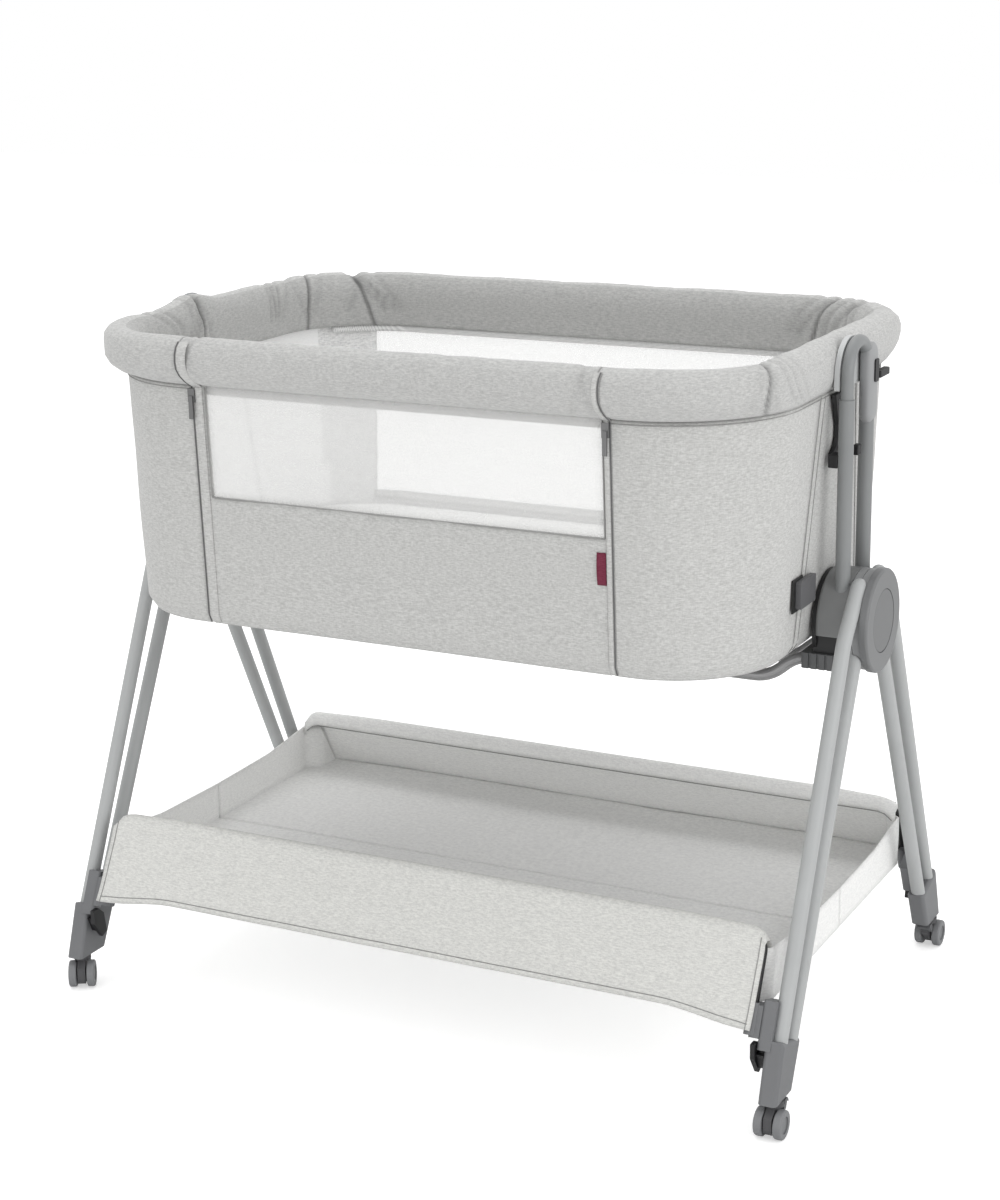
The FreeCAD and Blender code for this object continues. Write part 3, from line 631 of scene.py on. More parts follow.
def wall_line(z, inset=0.0):
    """The wall's rounded rectangle at a height: half length, half depth, corner radius."""
    low, high = (FLOOR_LINE, TURN_LINE) if z < TURN_LINE[3] else (TURN_LINE, TOP_LINE)
    t = (z - low[3]) / (high[3] - low[3])
    return [a + (b - a) * t - inset for a, b in zip(low[:3], high[:3])]


def seam_y(z):
    return SEAM_LOW + (SEAM_HIGH - SEAM_LOW) * (z - FLOOR_LINE[3]) / (WALL_TOP - FLOOR_LINE[3])


# A station is a place on the wall's outline. Given half length L, half depth D, corner radius
# R and height z, it gives x, y and the direction the wall looks in there.
def on_corner(sx, sy, L, D, R, a):
    """A place round a corner; a turns from the long side to the end."""
    return sx * (L - R + R * math.sin(a)), sy * (D - R + R * math.cos(a)), sx * math.sin(a), sy * math.cos(a)


def side_stations(sx, sy, x_from, steps):
    """Stations along a long side, from a given distance to the start of the corner."""
    return [lambda L, D, R, z, f=i / steps: (sx * (x_from + (L - R - x_from) * f), sy * D, 0.0, sy)
            for i in range(steps + 1)]


def corner_stations(sx, sy, steps, first=1):
    """Stations round a corner, from the long side to the end."""
    return [lambda L, D, R, z, f=i / steps: on_corner(sx, sy, L, D, R, math.pi / 2 * f)
            for i in range(first, steps + 1)]


def end_stations(sx, sy, steps=5):
    """Stations along an end, from the corner to the end panel's seam."""
    return [lambda L, D, R, z, f=i / steps: (sx * L, sy * (D - R + (seam_y(z) - (D - R)) * f), sx, 0.0)
            for i in range(1, steps + 1)]


def across_end(sx, steps):
    """Stations across the end panel, from seam to seam."""
    return [lambda L, D, R, z, f=i / steps: (sx * L, (2 * f - 1) * seam_y(z), sx, 0.0)
            for i in range(steps + 1)]


def wall_rows(stations, heights, swell=0.0, inset=0.0, seed=0.0, quiet=0.0):
    """Rows of points up a wall; swell pads it out between its seams."""
    rows = []
    for z in heights:
        L, D, R = wall_line(z, inset)
        up = (z - FLOOR_LINE[3]) / (WALL_TOP - FLOOR_LINE[3])
        row = []
        for k, station in enumerate(stations):
            x, y, nx, ny = station(L, D, R, z)
            across = k / (len(stations) - 1)
            pad = swell * (math.sin(math.pi * min(1, max(0, up))) ** 0.5) * math.sin(math.pi * across) ** 0.5
            ripple = 0.0011 * uneven(x * 11 + seed, y * 11, z * 7)
            ripple += 0.0005 * uneven(x * 40, y * 40 + seed, z * 22)
            edge = min(1.0, 6 * min(across, 1 - across))
            out = (pad + ripple * (1 - quiet)) * edge
            row.append((x + nx * out, y + ny * out, z))
        rows.append(row)
    return rows


def spread(low, high, steps):
    return [low + (high - low) * i / steps for i in range(steps + 1)]


def wall_piece(name, rows, outward, *more_cloths, skip=None):
    """A padded panel of the wall: grey cloth outside, lining inside, and any further pair."""
    piece = grid_mesh(name, rows, outward, skip=skip)
    sew(piece, WALL_THICK, wall_cloth, lining_cloth, *more_cloths)
    return piece


wall_cloth = cloth("wall_cloth", (176, 176, 174), (204, 204, 202), 640)
lining_cloth = cloth("lining_cloth", (242, 242, 242), (250, 250, 249), 700, 0.15)
corner_knit = cloth("corner_knit", (206, 206, 206), (246, 246, 245), 620, 0.4, 0.1)
WALL_HEIGHTS = WALL_FOOT + spread(0.474, WALL_TOP, 31)

for hand, sx in HANDS:
    stations = side_stations(sx, -1, ZIP_X, 3) + corner_stations(sx, -1, CORNER_STEPS)
    corner_rows = wall_rows(stations + end_stations(sx, -1), WALL_HEIGHTS, 0.0008, seed=sx)
    corner_cloth = wall_piece("corner_cloth_front_" + hand, corner_rows, (sx * 0.1, -1, 0))
    settle(corner_cloth, "crib", "corner_panel_front_" + hand)
    end_rows = wall_rows(across_end(sx, 20), WALL_HEIGHTS, 0.0006, seed=4 + sx)
    end_cloth = wall_piece("end_cloth_" + hand, end_rows, (sx, 0, 0))
    settle(end_cloth, "crib", "end_panel_" + hand)


def window_turn(L, R):
    """How far round its corner the wall is where the mesh window ends."""
    return math.asin((BACK_MESH_X - (L - R)) / R)


def mesh_edge(sx, f):
    """Station in the corner, between the end of the long side and the mesh window's edge."""
    return lambda L, D, R, z: on_corner(sx, 1, L, D, R, f * window_turn(L, R))


def past_mesh(sx, f):
    """Station in the corner, between the mesh window's edge and the end."""
    def place(L, D, R, z):
        start = window_turn(L, R)
        return on_corner(sx, 1, L, D, R, start + f * (math.pi / 2 - start))
    return place


def in_back_window(i, j):
    return i >= first_window_row and window_first <= j < window_last


# the back runs from the right seam round to the left seam, with the mesh window left open
back_stations = end_stations(1, 1)[::-1] + [past_mesh(1, 1 - i / 20) for i in range(20)]
window_first = len(back_stations)
back_stations += [mesh_edge(1, 1 - i / 5) for i in range(5)]
back_stations += [lambda L, D, R, z, f=i / 40: ((1 - 2 * f) * (L - R), D, 0.0, 1.0) for i in range(41)]
back_stations += [mesh_edge(-1, (i + 1) / 5) for i in range(5)]
window_last = len(back_stations) - 1
back_stations += [past_mesh(-1, (i + 1) / 20) for i in range(20)] + end_stations(-1, 1)
BACK_HEIGHTS = WALL_FOOT + [0.474, 0.482, 0.490] + spread(BACK_MESH_LOW, WALL_TOP, 28)
first_window_row = BACK_HEIGHTS.index(BACK_MESH_LOW)
back_rows = wall_rows(back_stations, BACK_HEIGHTS, 0.0008, seed=9)
back_cloth = wall_piece("back_cloth", back_rows, (1, 0, 0), wall_cloth, corner_knit, skip=in_back_window)
# in the rear corners the third cloth shows outside and the fourth, the knit, inside
for face in back_cloth.data.polygons:
    if face.center.y > KNIT_CORNER_Y and face.center.z > TURN_LINE[3]:
        face.material_index = 2
settle(back_cloth, "crib", "back_panel")

# ---------------------------------------------------------------- mesh windows
# Open knitted mesh of white yarn, stretched in the back wall and in the dropping front. Its
# small holes sit in offset rows, so the inside shows through it as a pale haze.
MESH_THICK = 0.0006
MESH_INSET = 0.0014
MESH_TOP = 0.7215
MESH_QUIET = 0.5

mesh_knit, knit_tree, knit_shader = new_material("mesh_knit", 0.85)
knit_shader.inputs["Base Color"].default_value = srgb(240, 240, 239)
knit_shader.inputs["Specular IOR Level"].default_value = 0.1
knit_place = node(knit_tree, "TexCoord")
knit_cells = node(knit_tree, "TexVoronoi", {"Scale": 760, "Randomness": 0.45})
knit_holes = node(knit_tree, "MapRange",
                  {"From Min": 0.15, "From Max": 0.55, "To Min": 0.13, "To Max": 0.36})
wire(knit_tree, (knit_place, "Object", knit_cells, "Vector"), (knit_cells, "Distance", knit_holes, "Value"),
     (knit_holes, "Result", knit_shader, "Alpha"))


def mesh_window(name, stations, low, steps, outward, seed):
    """Knitted mesh stretched a little behind the wall's face."""
    rows = wall_rows(stations, spread(low, MESH_TOP, steps), 0.0, MESH_INSET, seed, MESH_QUIET)
    piece = grid_mesh(name, rows, outward)
    sew(piece, MESH_THICK, mesh_knit)
    return piece


window_stations = back_stations[window_first:window_last + 1]
back_knit = mesh_window("back_mesh_cloth", window_stations, BACK_MESH_LOW, 20, (0, 1, 0), 2.5)
settle(back_knit, "crib", "back_mesh")

# ---------------------------------------------------------------- dropping front
# The front between the zips: a cloth panel with a mesh window above it. On the real crib it
# folds down with the rail when both zips are open.
FRONT_EDGE = 0.2386
WINDOW_LEFT = -0.226
WINDOW_RIGHT = 0.237
WINDOW_LOW = 0.600
front_columns = [-FRONT_EDGE, -0.2335] + spread(WINDOW_LEFT, WINDOW_RIGHT, 40) + [FRONT_EDGE]
FRONT_HEIGHTS = WALL_FOOT + spread(0.474, WINDOW_LOW, 16)
window_row = len(FRONT_HEIGHTS) - 1
FRONT_HEIGHTS += spread(WINDOW_LOW, WALL_TOP, 12)[1:]


def front_place(x):
    return lambda L, D, R, z: (x, -D, 0.0, -1.0)


def in_front_window(i, j):
    return i >= window_row and 2 <= j < len(front_columns) - 2


def fold_with_side(piece):
    """Give the piece its own copy of its mesh."""
    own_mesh(piece)


front_rows = wall_rows([front_place(x) for x in front_columns], FRONT_HEIGHTS, 0.0008, seed=14)
front_cloth = wall_piece("drop_front_cloth", front_rows, (0, -1, 0), skip=in_front_window)
window_places = [front_place(x) for x in spread(WINDOW_LEFT, WINDOW_RIGHT, 40)]
window_knit = mesh_window("drop_window_mesh", window_places, WINDOW_LOW, 12, (0, -1, 0), 5.5)
for piece, slot_name, stands_for in ((front_cloth, "grey_cloth", "drop_cloth"),
                                     (window_knit, "mesh_cloth", "drop_window")):
    settle(piece, "crib", stands_for)
    fold_with_side(piece)

# ---------------------------------------------------------------- mattress and base board
# A thin foam mattress in a white cover, lying on a stiff board in a grey sleeve that closes
# the crib underneath.
MATTRESS_RINGS = ((0.3695, 0.2280, 0.1105, 0.4620), (0.3735, 0.2320, 0.1145, 0.4645),
                  (0.3755, 0.2340, 0.1165, 0.4710), (0.3752, 0.2337, 0.1162, 0.4780),
                  (0.3740, 0.2325, 0.1150, 0.4825), (0.3705, 0.2290, 0.1115, 0.4862),
                  (0.3620, 0.2205, 0.1030, 0.4880), (0.3300, 0.1885, 0.0950, 0.4893),
                  (0.2700, 0.1400, 0.0700, 0.4898), (0.1800, 0.0800, 0.0400, 0.4900),
                  (0.0700, 0.0300, 0.0150, 0.4900))
MATTRESS_HIGHEST = 0.4904


def full_ring(L, D, R, corner_steps=10, side_steps=10, end_steps=5):
    """All places round a rounded rectangle, starting at the middle of the front."""
    points = []
    for sx, sy, flip in ((1, -1, False), (1, 1, True), (-1, 1, False), (-1, -1, True)):
        quarter = [(sx * (L - R) * i / side_steps, sy * D) for i in range(side_steps)]
        for i in range(corner_steps):
            quarter.append(on_corner(sx, sy, L, D, R, math.pi / 2 * i / corner_steps)[:2])
        quarter += [(sx * L, sy * (D - R) * (1 - i / end_steps)) for i in range(end_steps + 1)]
        quarter = quarter[::-1] if flip else quarter
        points += quarter[:-1]
    return points


mattress_rings = []
for L, D, R, z in MATTRESS_RINGS:
    ring = []
    for x, y in full_ring(L, D, R):
        dip = 0.0006 * uneven(x * 14, y * 14, z * 5)
        ring.append((x, y, min(MATTRESS_HIGHEST, z + dip)))
    mattress_rings.append(ring)
white_cover = cloth("white_cover", (236, 236, 235), (247, 247, 246), 700, 0.2, 0.1)
mattress_pad = moulded("mattress_pad", mattress_rings, white_cover, smooth_ends=True)
settle(mattress_pad, "crib", "mattress")
finish_nodes(cloth("board_sleeve", (120, 119, 117), (140, 139, 137)), "base_board")

# ---------------------------------------------------------------- padded rim
# Foam tube in a grey cloth sleeve, pulled over the steel rim and sewn to the walls below.
# The sleeve is pieced: it is pinched at each seam and crumples a little in the corners; its folds and its
# inner faces carry painted shade.
# the sleeve's cross section, outside first, each point as half length, half depth, radius, height
RIM_LOOP = ((0.3915, 0.2520, 0.138, 0.7222), (0.3952, 0.2645, 0.134, 0.7275), (0.3982, 0.2735, 0.129, 0.7350),
            (0.3998, 0.2795, 0.125, 0.7430), (0.4000, 0.2812, 0.122, 0.7510), (0.3993, 0.2808, 0.120, 0.7585),
            (0.3965, 0.2780, 0.117, 0.7660), (0.3910, 0.2725, 0.113, 0.7715), (0.3845, 0.2660, 0.108, 0.7748),
            (0.3780, 0.2595, 0.103, 0.7754), (0.3720, 0.2535, 0.102, 0.7735), (0.3665, 0.2480, 0.102, 0.7690),
            (0.3625, 0.2440, 0.103, 0.7620), (0.3605, 0.2418, 0.104, 0.7540), (0.3602, 0.2414, 0.105, 0.7450),
            (0.3610, 0.2422, 0.107, 0.7360), (0.3622, 0.2434, 0.109, 0.7260), (0.3634, 0.2444, 0.111, 0.716),
            (0.3638, 0.2448, 0.1112, 0.7114), (0.3655, 0.2465, 0.1118, 0.7114), (0.366, 0.247, 0.112, 0.718),
            (0.3760, 0.2480, 0.124, 0.7212))
INNER_FROM, INNER_TO = 10, 19    # points of the cross section that look into the crib
LOOSE_TO = 16                    # the cloth is loose up to this point and sewn down after it
RIM_MIDDLE = (0.380, 0.262, 0.105, 0.748)
RIM_MIDDLE_Z = RIM_MIDDLE[3]
RIM_HIGHEST = 0.7758
# sewn joins in the sleeve: the place along the rim, how far past it, slant
RIM_SEAMS = (((-0.3785, -0.0511), ((0.0, 0.0),)), ((-0.3467, 0.1837), ((0.0, 0.0),)),
             ((-0.3371, 0.2651), ((0.0, -0.3),)), ((0.3002, 0.2557), ((0.0, 0.2),)),
             ((0.3670, -0.1736), ((0.020, -0.36),)))
# creases: the place along the rim they gather at, then how far past it, slant, depth, half width
RIM_CREASES = (
    ((-0.3785, -0.0511), ((-0.009, 0.5, 0.0026, 0.0034), (-0.019, 0.7, 0.0024, 0.0036),
        (-0.031, 0.5, 0.0016, 0.0042), (-0.052, -0.5, 0.0018, 0.0046), (-0.068, -0.8, 0.0016, 0.004),
        (0.011, -0.3, 0.0016, 0.004))),
    ((-0.3789, 0.1244), ((-0.014, -0.2, 0.0018, 0.0044), (-0.002, -0.3, 0.0024, 0.0038),
        (0.009, -0.1, 0.0022, 0.004), (0.024, 0.3, 0.0012, 0.005))),
    ((-0.3467, 0.1837), ((-0.014, -0.6, 0.0014, 0.004), (0.012, 0.3, 0.0014, 0.0046))),
    ((-0.3371, 0.2651), ((0.011, -0.9, 0.0028, 0.0036), (0.022, -1.0, 0.0024, 0.0042),
        (0.036, -0.7, 0.0016, 0.0052), (-0.013, 0.4, 0.0016, 0.0044))),
    ((0.3002, 0.2557), ((-0.013, 0.6, 0.0022, 0.0042), (-0.028, 0.4, 0.0014, 0.005),
        (0.014, 0.3, 0.0022, 0.004), (0.03, 0.5, 0.0024, 0.0042), (0.046, -0.3, 0.0022, 0.004),
        (0.063, -0.6, 0.002, 0.0046), (0.084, 0.4, 0.0014, 0.005))),
    ((0.367, -0.1736), ((-0.05, 0.4, 0.001, 0.005), (-0.03, 0.3, 0.0012, 0.0044),
        (-0.013, 0.2, 0.0014, 0.004), (0.013, -0.2, 0.0012, 0.0044), (0.034, -0.5, 0.001, 0.0056))))
SEAM_WIDTH = 0.0025
SEAM_PINCH = 0.0030
CREASE_PULL = 1.3
ARCH_HALF = 0.060                # the rim is flattened this far to both sides where the arch passes
ARCH_FLAT = 0.044                # fully flat up to here
ARCH_FADE = 0.014
ARCH_FROM = 0.396
ARCH_LIMIT = 0.3982
RIM_OUTMOST = 0.400
HUMP_Y = -0.050                  # the left end's padding stands up a little here
HUMP_HIGH = 0.0095
HUMP_WIDTH = 0.032
HUMP_FROM = 0.758                # only the top of the sleeve is lifted
HUMP_FADE = 0.015
DRAWN_CORNER = (-0.352, -0.235)  # the sleeve is drawn in round this corner
DRAWN_WIDE = 0.070
DRAWN_IN = 0.0065

rim_cloth = cloth("rim_cloth", (172, 172, 171), (200, 200, 198), 700)
# a darker copy of the rim cloth: painted shade for the faces that look into the crib
rim_cloth_inner_shade = cloth("rim_cloth_inner_shade", (158, 158, 157), (184, 184, 182), 620)


def bell(distance, width):
    """1 in the middle, fading to nothing at about twice the width."""
    return math.exp(-((distance / width) ** 2))


def rim_stations():
    """Close-set stations along the rim, from the left zip round the back to the right zip."""
    def end_middle(sx, steps=110):
        return [lambda L, D, R, z, f=i / steps: (sx * L, -(D - R) * (1 - 2 * f), sx, 0.0)
                for i in range(1, steps)]

    left = side_stations(-1, -1, ZIP_X, 12) + corner_stations(-1, -1, 70)
    left += end_middle(-1) + corner_stations(-1, 1, 70, 0)[::-1]
    back = [lambda L, D, R, z, f=i / 190: (-(L - R) * (1 - 2 * f), D, 0.0, 1.0) for i in range(1, 190)]
    right = corner_stations(1, 1, 70, 0) + end_middle(1)[::-1]
    right += corner_stations(1, -1, 70)[::-1] + side_stations(1, -1, ZIP_X, 12)[::-1]
    return left + back + right


def profile_normal(k):
    """Which way the sleeve's surface looks at one point of its profile: outwards and up."""
    before, after = RIM_LOOP[k - 1], RIM_LOOP[(k + 1) % len(RIM_LOOP)]
    along, up = after[0] - before[0], after[3] - before[3]
    size = math.hypot(along, up)
    return up / size, -along / size


def rim_ring_at(station, here, seams, creases, dented):
    """One turn of the sleeve round the foam, with how dark its seams look and how much painted shade its
    folds take.
    """
    mid_x, mid_y, _, _ = station(*RIM_MIDDLE)
    front_left = bell(math.dist((mid_x, mid_y), DRAWN_CORNER), DRAWN_WIDE)
    ring, shades = [], []
    for k, (L, D, R, z) in enumerate(RIM_LOOP):
        x, y, nx, ny = station(L, D, R, z)
        outwards, upwards = profile_normal(k)
        above = z - RIM_MIDDLE_Z
        near = max([bell(here - at - slant * above, SEAM_WIDTH) for at, slant in seams] or [0])
        loose = (0.0, 0.4)[k] if k < 2 else 1.0 if k < LOOSE_TO else 0.0
        depth = sum(d * bell(here - at - slant * above, w) for at, slant, d, w in creases)
        soft = 0.0013 * uneven(here * 15, z * 9, 3.0) + 0.0007 * uneven(here * 46, z * 22, 8.0)
        out = loose * (soft - CREASE_PULL * depth - SEAM_PINCH * near)
        # seams darken as sewn joins; the folds get painted shade from their depth
        shades.append(min(0.8, 0.75 * near + 100 * depth * loose))
        drawn = DRAWN_IN * front_left * bell(k - 4.5, 2.2)
        x += nx * (outwards * out - drawn)
        y += ny * (outwards * out - drawn)
        if dented and abs(y) < ARCH_HALF and abs(x) > ARCH_FROM:
            leaning = 1 - ease((abs(y) - ARCH_FLAT) / ARCH_FADE)
            limit = ARCH_LIMIT + (RIM_OUTMOST - ARCH_LIMIT) * (1 - leaning)
            x = math.copysign(min(abs(x), limit), x)
        hump = HUMP_HIGH * bell(mid_y - HUMP_Y, HUMP_WIDTH) if dented and mid_x < -0.3 else 0.0
        top_share = ease((z - HUMP_FROM) / HUMP_FADE)
        ring.append((x, y, min(z + upwards * out, RIM_HIGHEST) + hump * top_share))
    return ring, shades


def gathered(ring, share):
    """A turn of the sleeve drawn in towards its middle."""
    centre = Vector((sum(p[0] for p in ring), sum(p[1] for p in ring), sum(p[2] for p in ring))) / len(ring)
    return [tuple(Vector(p).lerp(centre, share)) for p in ring]


def sleeve(name, stations, seam_points, crease_points, dented):
    """The closed sleeve with its ends drawn in, and a layer for its colour: darker seams and painted shade in
    its folds.
    """
    middles = [station(*RIM_MIDDLE)[:2] for station in stations]
    lengths = [0.0]
    for one, other in zip(middles, middles[1:]):
        lengths.append(lengths[-1] + math.dist(one, other))

    def along(point):
        nearest = min(range(len(middles)), key=lambda i: math.dist(middles[i], point))
        return lengths[nearest]

    seams = [(along(point) + past, slant) for point, group in seam_points for past, slant in group]
    creases = [(along(point) + past, slant, depth, wide) for point, group in crease_points
               for past, slant, depth, wide in group]
    turns = [rim_ring_at(station, here, seams, creases, dented) for station, here in zip(stations, lengths)]
    rings = [ring for ring, _ in turns]
    first, final = rings[0], rings[-1]
    rings = [gathered(first, 0.9), gathered(first, 0.45), *rings, gathered(final, 0.45), gathered(final, 0.9)]
    count = len(RIM_LOOP)
    end_shades = [[0.45] * count, [0.3] * count]
    shades = end_shades + [ring_shades for _, ring_shades in turns] + end_shades[::-1]
    piece = moulded(name, rings, rim_cloth, smooth_ends=True)
    # the faces that look into the crib take the darker copy: painted shade
    piece.data.materials.append(rim_cloth_inner_shade)
    for face in piece.data.polygons:
        points = sorted(v % count for v in face.vertices)
        if INNER_FROM <= points[0] and points[-1] <= INNER_TO:
            face.material_index = 1
    # this layer holds the darker seams and the painted shade of the folds
    seam_and_fold_shade_layer = piece.data.attributes.new("seam_and_fold_shade", "FLOAT", "POINT")
    seam_and_fold_shade_layer.data.foreach_set("value", [shade for ring_shades in shades for shade in ring_shades])
    return piece


rim_padding = sleeve("rim_padding", rim_stations(), RIM_SEAMS, RIM_CREASES, True)
settle(rim_padding, "crib", "rim_sleeve")

RAIL_HALF = 0.2405
RAIL_CREASES = (((-RAIL_HALF, -0.262), ((0.008, 0.3, 0.0014, 0.0030), (0.017, -0.4, 0.0009, 0.0040))),
                ((RAIL_HALF, -0.262), ((-0.009, -0.3, 0.0012, 0.0034), (-0.021, 0.4, 0.0008, 0.0044))))
rail_stations = [front_place(-RAIL_HALF + 2 * RAIL_HALF * i / 190) for i in range(191)]
rail_padding = sleeve("drop_rail_padding", rail_stations, (), RAIL_CREASES, False)
settle(rail_padding, "drop_side", "drop_rail_sleeve")

# ---------------------------------------------------------------- zips
# Two coil zips close the front, from the rim's top down to the bottom hem, each partly hidden
# by a narrow flap of the wall's cloth. A metal slider with a pull runs on each.
ZIPS = (("left", -0.2421, -0.2406, -0.2290), ("right", 0.2456, 0.2384, 0.2446))  # coil, flap from, to
ZIP_LOW = 0.4565
ZIP_HIGH = 0.7205
ZIP_CLEAR = 0.0004
RAIL_FLAP_LOW = 0.7200
ZIP_FLAP_THICK = 0.001
TAPE_THICK = 0.0008
TAPE_HALF = 0.0014
COIL_RADIUS = 0.0006

zip_tape = cloth("zip_tape", (138, 138, 137), (158, 158, 156), 900)
coil_nylon = plain_finish("coil_nylon", (78, 78, 79), (98, 98, 99), (0.4, 0.5))
plain_finish("zip_metal", (96, 96, 96), (132, 132, 132), (0.3, 0.42),
             "zip_slider_left", "zip_slider_right", grain=700, bump=0.08, metallic=0.8)


def front_y(z, clear=0.0):
    return -(wall_line(z)[1]) - clear


def zip_line():
    """Points up the front face and over the rim, a little proud of the cloth."""
    line = [(front_y(z, ZIP_CLEAR), z) for z in spread(ZIP_LOW, ZIP_HIGH, 132)]
    return line + [(-D - ZIP_CLEAR * 0.8, z + ZIP_CLEAR * 0.5) for L, D, R, z in RIM_LOOP[1:8]]


def ribbon(name, line, cross, material, thickness):
    """A narrow strip of cloth up the front; cross gives x and how proud it stands there."""
    piece = grid_mesh(name, [[(x, y - proud, z) for x, proud in cross] for y, z in line], (0, -1, 0))
    sew(piece, thickness, material)
    return piece


for hand, coil_x, flap_from, flap_to in ZIPS:
    line = zip_line()
    upper_line = [(y, z) for y, z in line if z > RAIL_FLAP_LOW]
    lower_line = line[:len(line) - len(upper_line) + 1]
    flap_cross = ((flap_from, 0.0), (flap_from + 0.0006, 0.0012), ((flap_from + flap_to) / 2, 0.0019),
                  (flap_to - 0.0006, 0.0012), (flap_to, 0.0))
    for part, part_line, body, rest in (("zip_flap_", lower_line, "crib", "drop_front_cloth"),
                                        ("rail_flap_", upper_line, "drop_side", "drop_rail_padding")):
        zip_flap = ribbon(part + hand, part_line, flap_cross, wall_cloth, ZIP_FLAP_THICK)
        settle(zip_flap, body)
        if body == "crib":
            fold_with_side(zip_flap)
    tape_cross = ((coil_x - TAPE_HALF, 0.0), (coil_x - 0.0008, 0.0004), (coil_x + 0.0008, 0.0004),
                  (coil_x + TAPE_HALF, 0.0))
    settle(ribbon("zip_tape_" + hand, line, tape_cross, zip_tape, TAPE_THICK), "crib")
    coil_line = [(coil_x, y - 0.0005, z) for y, z in line]
    settle(tube_mesh("zip_coil_" + hand, [coil_line], COIL_RADIUS, coil_nylon), "crib")

# ---------------------------------------------------------------- stitching
# Doubled seams close the wall panels to the rim and to each other, and piping edges the
# front window.
RIM_SEAM_Z = 0.7212
RIM_SEAM_GAP = 0.0032
END_SEAM_GAP = 0.0125
PIPING_RADIUS = 0.0008

seam_lines = []
for z in (RIM_SEAM_Z, RIM_SEAM_Z - RIM_SEAM_GAP):
    outline = wall_line(z, -0.0004)
    seam_lines.append([(*station(*outline, z)[:2], z) for station in rim_stations()[::4]])
for sx in (-1, 1):
    for sy in (-1, 1):
        for inset in (0.0, END_SEAM_GAP):
            seam_lines.append([(sx * (wall_line(z)[0] + 0.0003), sy * (seam_y(z) - inset), z)
                               for z in spread(0.458, 0.7195, 40)])
settle(tube_mesh("wall_stitches", seam_lines, STITCH_RADIUS, seam_thread), "crib")

window_foot = [(x, front_y(WINDOW_LOW, 0.0006), WINDOW_LOW) for x in spread(WINDOW_LEFT, WINDOW_RIGHT, 30)]
window_sides = [[(x, front_y(z, 0.0005), z) for z in spread(WINDOW_LOW, ZIP_HIGH, 12)]
                for x in (WINDOW_LEFT, WINDOW_RIGHT)]
window_binding = tube_mesh("window_binding", [window_foot] + window_sides, PIPING_RADIUS, seam_thread)
settle(window_binding, "crib")
fold_with_side(window_binding)

# ---------------------------------------------------------------- small fittings
# Behind each post sit a black guide block, a black wedge of painted shadow between wall and
# post, and a spacer between the posts; a clip hangs under the rim, and a plastic buckle with
# a lighter face hangs on each end.
BLOCKS = (("post_guide_", (0.3935, -0.036, 0.643), (0.4040, -0.018, 0.657), "base"),
          ("post_spacer_", (0.4065, 0.003, 0.650), (0.4130, 0.014, 0.661), "base"),
          ("rim_clip_", (0.3925, 0.113, 0.7125), (0.4000, 0.143, 0.7205), "crib"))
SHADOW_WEDGE_FRONT = ((0.6552, -0.028), (0.662, -0.016), (0.672, -0.012), (0.684, -0.013), (0.700, -0.021),
             (0.7185, -0.030))   # height, and how far forward the painted shadow wedge comes there
BLOCK_WORN = 0.0012
SHADOW_WEDGE_BACK = 0.004
SHADOW_WEDGE_THICK = 0.0055
SHADOW_WEDGE_CLEAR = 0.0015
SHADOW_WEDGE_WORN = 0.0007
BUCKLE_FACE_X = 0.38645


def block(name, low, high, body):
    """A small moulded block with worn-round edges."""
    shape = bmesh.new()
    bmesh.ops.create_cube(shape, size=1.0)
    bmesh.ops.scale(shape, vec=[b - a for a, b in zip(low, high)], verts=shape.verts)
    bmesh.ops.translate(shape, vec=[(a + b) / 2 for a, b in zip(low, high)], verts=shape.verts)
    bmesh.ops.bevel(shape, geom=list(shape.edges), offset=BLOCK_WORN, segments=2, affect="EDGES", profile=0.5)
    piece = new_piece(name, shape)
    piece.data.materials.append(black_plastic)
    settle(piece, body)


for hand, sx in HANDS:
    for part, near, far, body in BLOCKS:
        low_x, high_x = sorted((sx * near[0], sx * far[0]))
        block(part + hand, (low_x, *near[1:]), (high_x, *far[1:]), body)
    # a black wedge behind each post: painted shadow in the gap between the wall and the post
    shadow_wedge_rings = []
    for z, front in SHADOW_WEDGE_FRONT:
        near_x = wall_line(z)[0] + SHADOW_WEDGE_CLEAR
        far_x = near_x + SHADOW_WEDGE_THICK
        corners = ((near_x, front), (far_x, front + 0.001), (far_x, SHADOW_WEDGE_BACK), (near_x, SHADOW_WEDGE_BACK))
        shadow_wedge_rings.append([(sx * x, y, z) for x, y in corners])
    settle(moulded("post_guide_arm_" + hand, shadow_wedge_rings, black_plastic, SHADOW_WEDGE_WORN), "base")

buckle_plastic = plain_finish("clip_plastic", (18, 18, 18), (26, 26, 26), (0.4, 0.5), "end_buckles")
buckle_tree = buckle_plastic.node_tree
buckle_shader = buckle_tree.nodes["Principled BSDF"]
buckle_shade = buckle_shader.inputs["Base Color"].links[0].from_node
buckle_place = node(buckle_tree, "TexCoord")
buckle_axes = node(buckle_tree, "SeparateXYZ")
buckle_far = node(buckle_tree, "Math", operation="ABSOLUTE")
buckle_front = node(buckle_tree, "Math", {1: BUCKLE_FACE_X}, operation="GREATER_THAN")
buckle_tint = node(buckle_tree, "Mix", {"B": srgb(92, 92, 94)}, data_type="RGBA")
wire(buckle_tree, (buckle_place, "Object", buckle_axes, 0), (buckle_axes, "X", buckle_far, 0),
     (buckle_far, 0, buckle_front, 0), (buckle_front, 0, buckle_tint, "Factor"),
     (buckle_shade, "Result", buckle_tint, "A"), (buckle_tint, "Result", buckle_shader, "Base Color"))

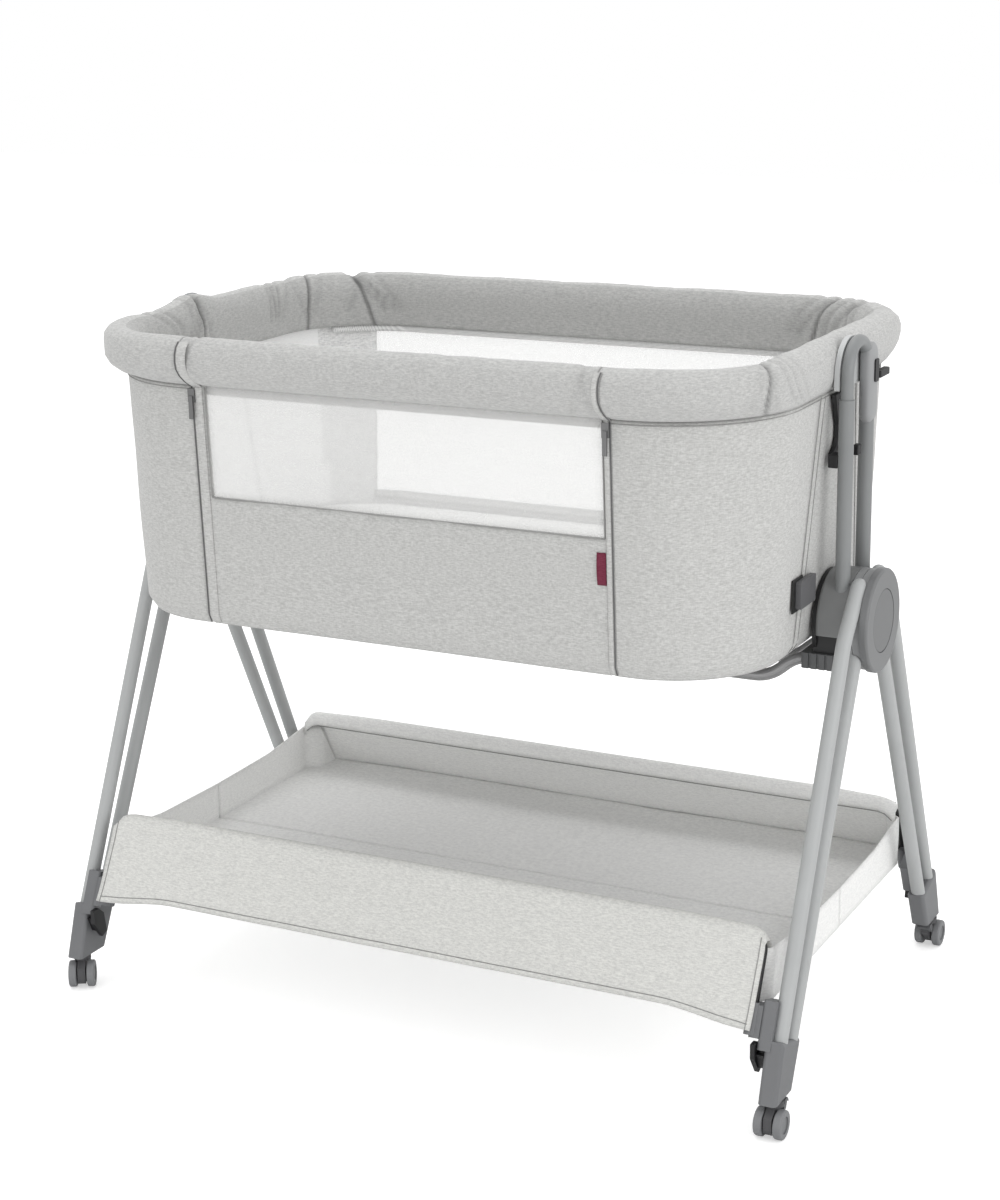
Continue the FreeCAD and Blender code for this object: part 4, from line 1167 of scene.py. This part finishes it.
# ---------------------------------------------------------------- side tag
# A small plain tag of dark-red cloth is caught in the seam at the right of the front; its
# free edge bulges a little away from the wall.
TAG_LOW = 0.5515
TAG_TALL = 0.034
TAG_X = 0.2282
TAG_WIDE = 0.0098
TAG_THICK = 0.0009

tag_red = cloth("tag_red", (104, 40, 58), (122, 56, 74), 800, 0.3, 0.1)
tag_rows = []
for z in spread(TAG_LOW, TAG_LOW + TAG_TALL, 10):
    lift = 0.0014 * math.sin(math.pi * (z - TAG_LOW) / TAG_TALL) + 0.0006
    tag_rows.append([(TAG_X + TAG_WIDE * i / 5, front_y(z, 0.0012) - lift * (1 - i / 5), z)
                     for i in range(6)])
tag = grid_mesh("side_tag", tag_rows, (0, -1, 0))
sew(tag, TAG_THICK, tag_red)
settle(tag, "crib")
fold_with_side(tag)

# ---------------------------------------------------------------- dotted binding
# A narrow dotted tape edges the inside along the back: under the rim's inner edge and along
# the foot of the mesh, just above the mattress.
LOW_BINDING = (0.4925, 0.496, 0.500, 0.5025)
LOW_BINDING_INSET = 0.0056
HIGH_BINDING = (0.7040, 0.7075, 0.7112)
HIGH_BINDING_LINE = (0.3645, 0.2455, 0.1115)     # half length, half depth, corner radius
HIGH_BINDING_LEAN = 0.0006
HIGH_BINDING_Y = 0.222           # only the back is bound, where the rim's middle is beyond this
BINDING_THICK = 0.0009

dotted_tape, dots_tree, dots_shader = new_material("dotted_tape", 0.9)
dots_place = node(dots_tree, "TexCoord")
dots = node(dots_tree, "TexVoronoi", {"Scale": 640, "Randomness": 0.05})
dots_edge = node(dots_tree, "MapRange", {"From Min": 0.28, "From Max": 0.5})
dots_mix = node(dots_tree, "Mix", {"A": srgb(168, 168, 168), "B": srgb(224, 224, 223)}, data_type="RGBA")
dots_bump = node(dots_tree, "Bump", {"Strength": 0.3, "Distance": 0.0004})
wire(dots_tree, (dots_place, "Object", dots, "Vector"), (dots, "Distance", dots_edge, "Value"),
     (dots_edge, "Result", dots_mix, "Factor"), (dots_mix, "Result", dots_shader, "Base Color"),
     (dots_edge, "Result", dots_bump, "Height"), (dots_bump, "Normal", dots_shader, "Normal"))

low_rows = [[(*station(*wall_line(z, LOW_BINDING_INSET), z)[:2], z) for station in window_stations]
            for z in LOW_BINDING]
high_rows = []
for k, z in enumerate(HIGH_BINDING):
    L, D, R = HIGH_BINDING_LINE
    outline = (L + HIGH_BINDING_LEAN * k, D + HIGH_BINDING_LEAN * k, R, z)
    high_rows.append([(*station(*outline)[:2], z) for station in rim_stations()[::3]
                      if station(*RIM_MIDDLE)[1] > HIGH_BINDING_Y])
for name, rows in (("binding_low", low_rows), ("binding_high", high_rows)):
    binding = grid_mesh(name, rows)
    sew(binding, BINDING_THICK, dotted_tape)
    settle(binding, "crib")
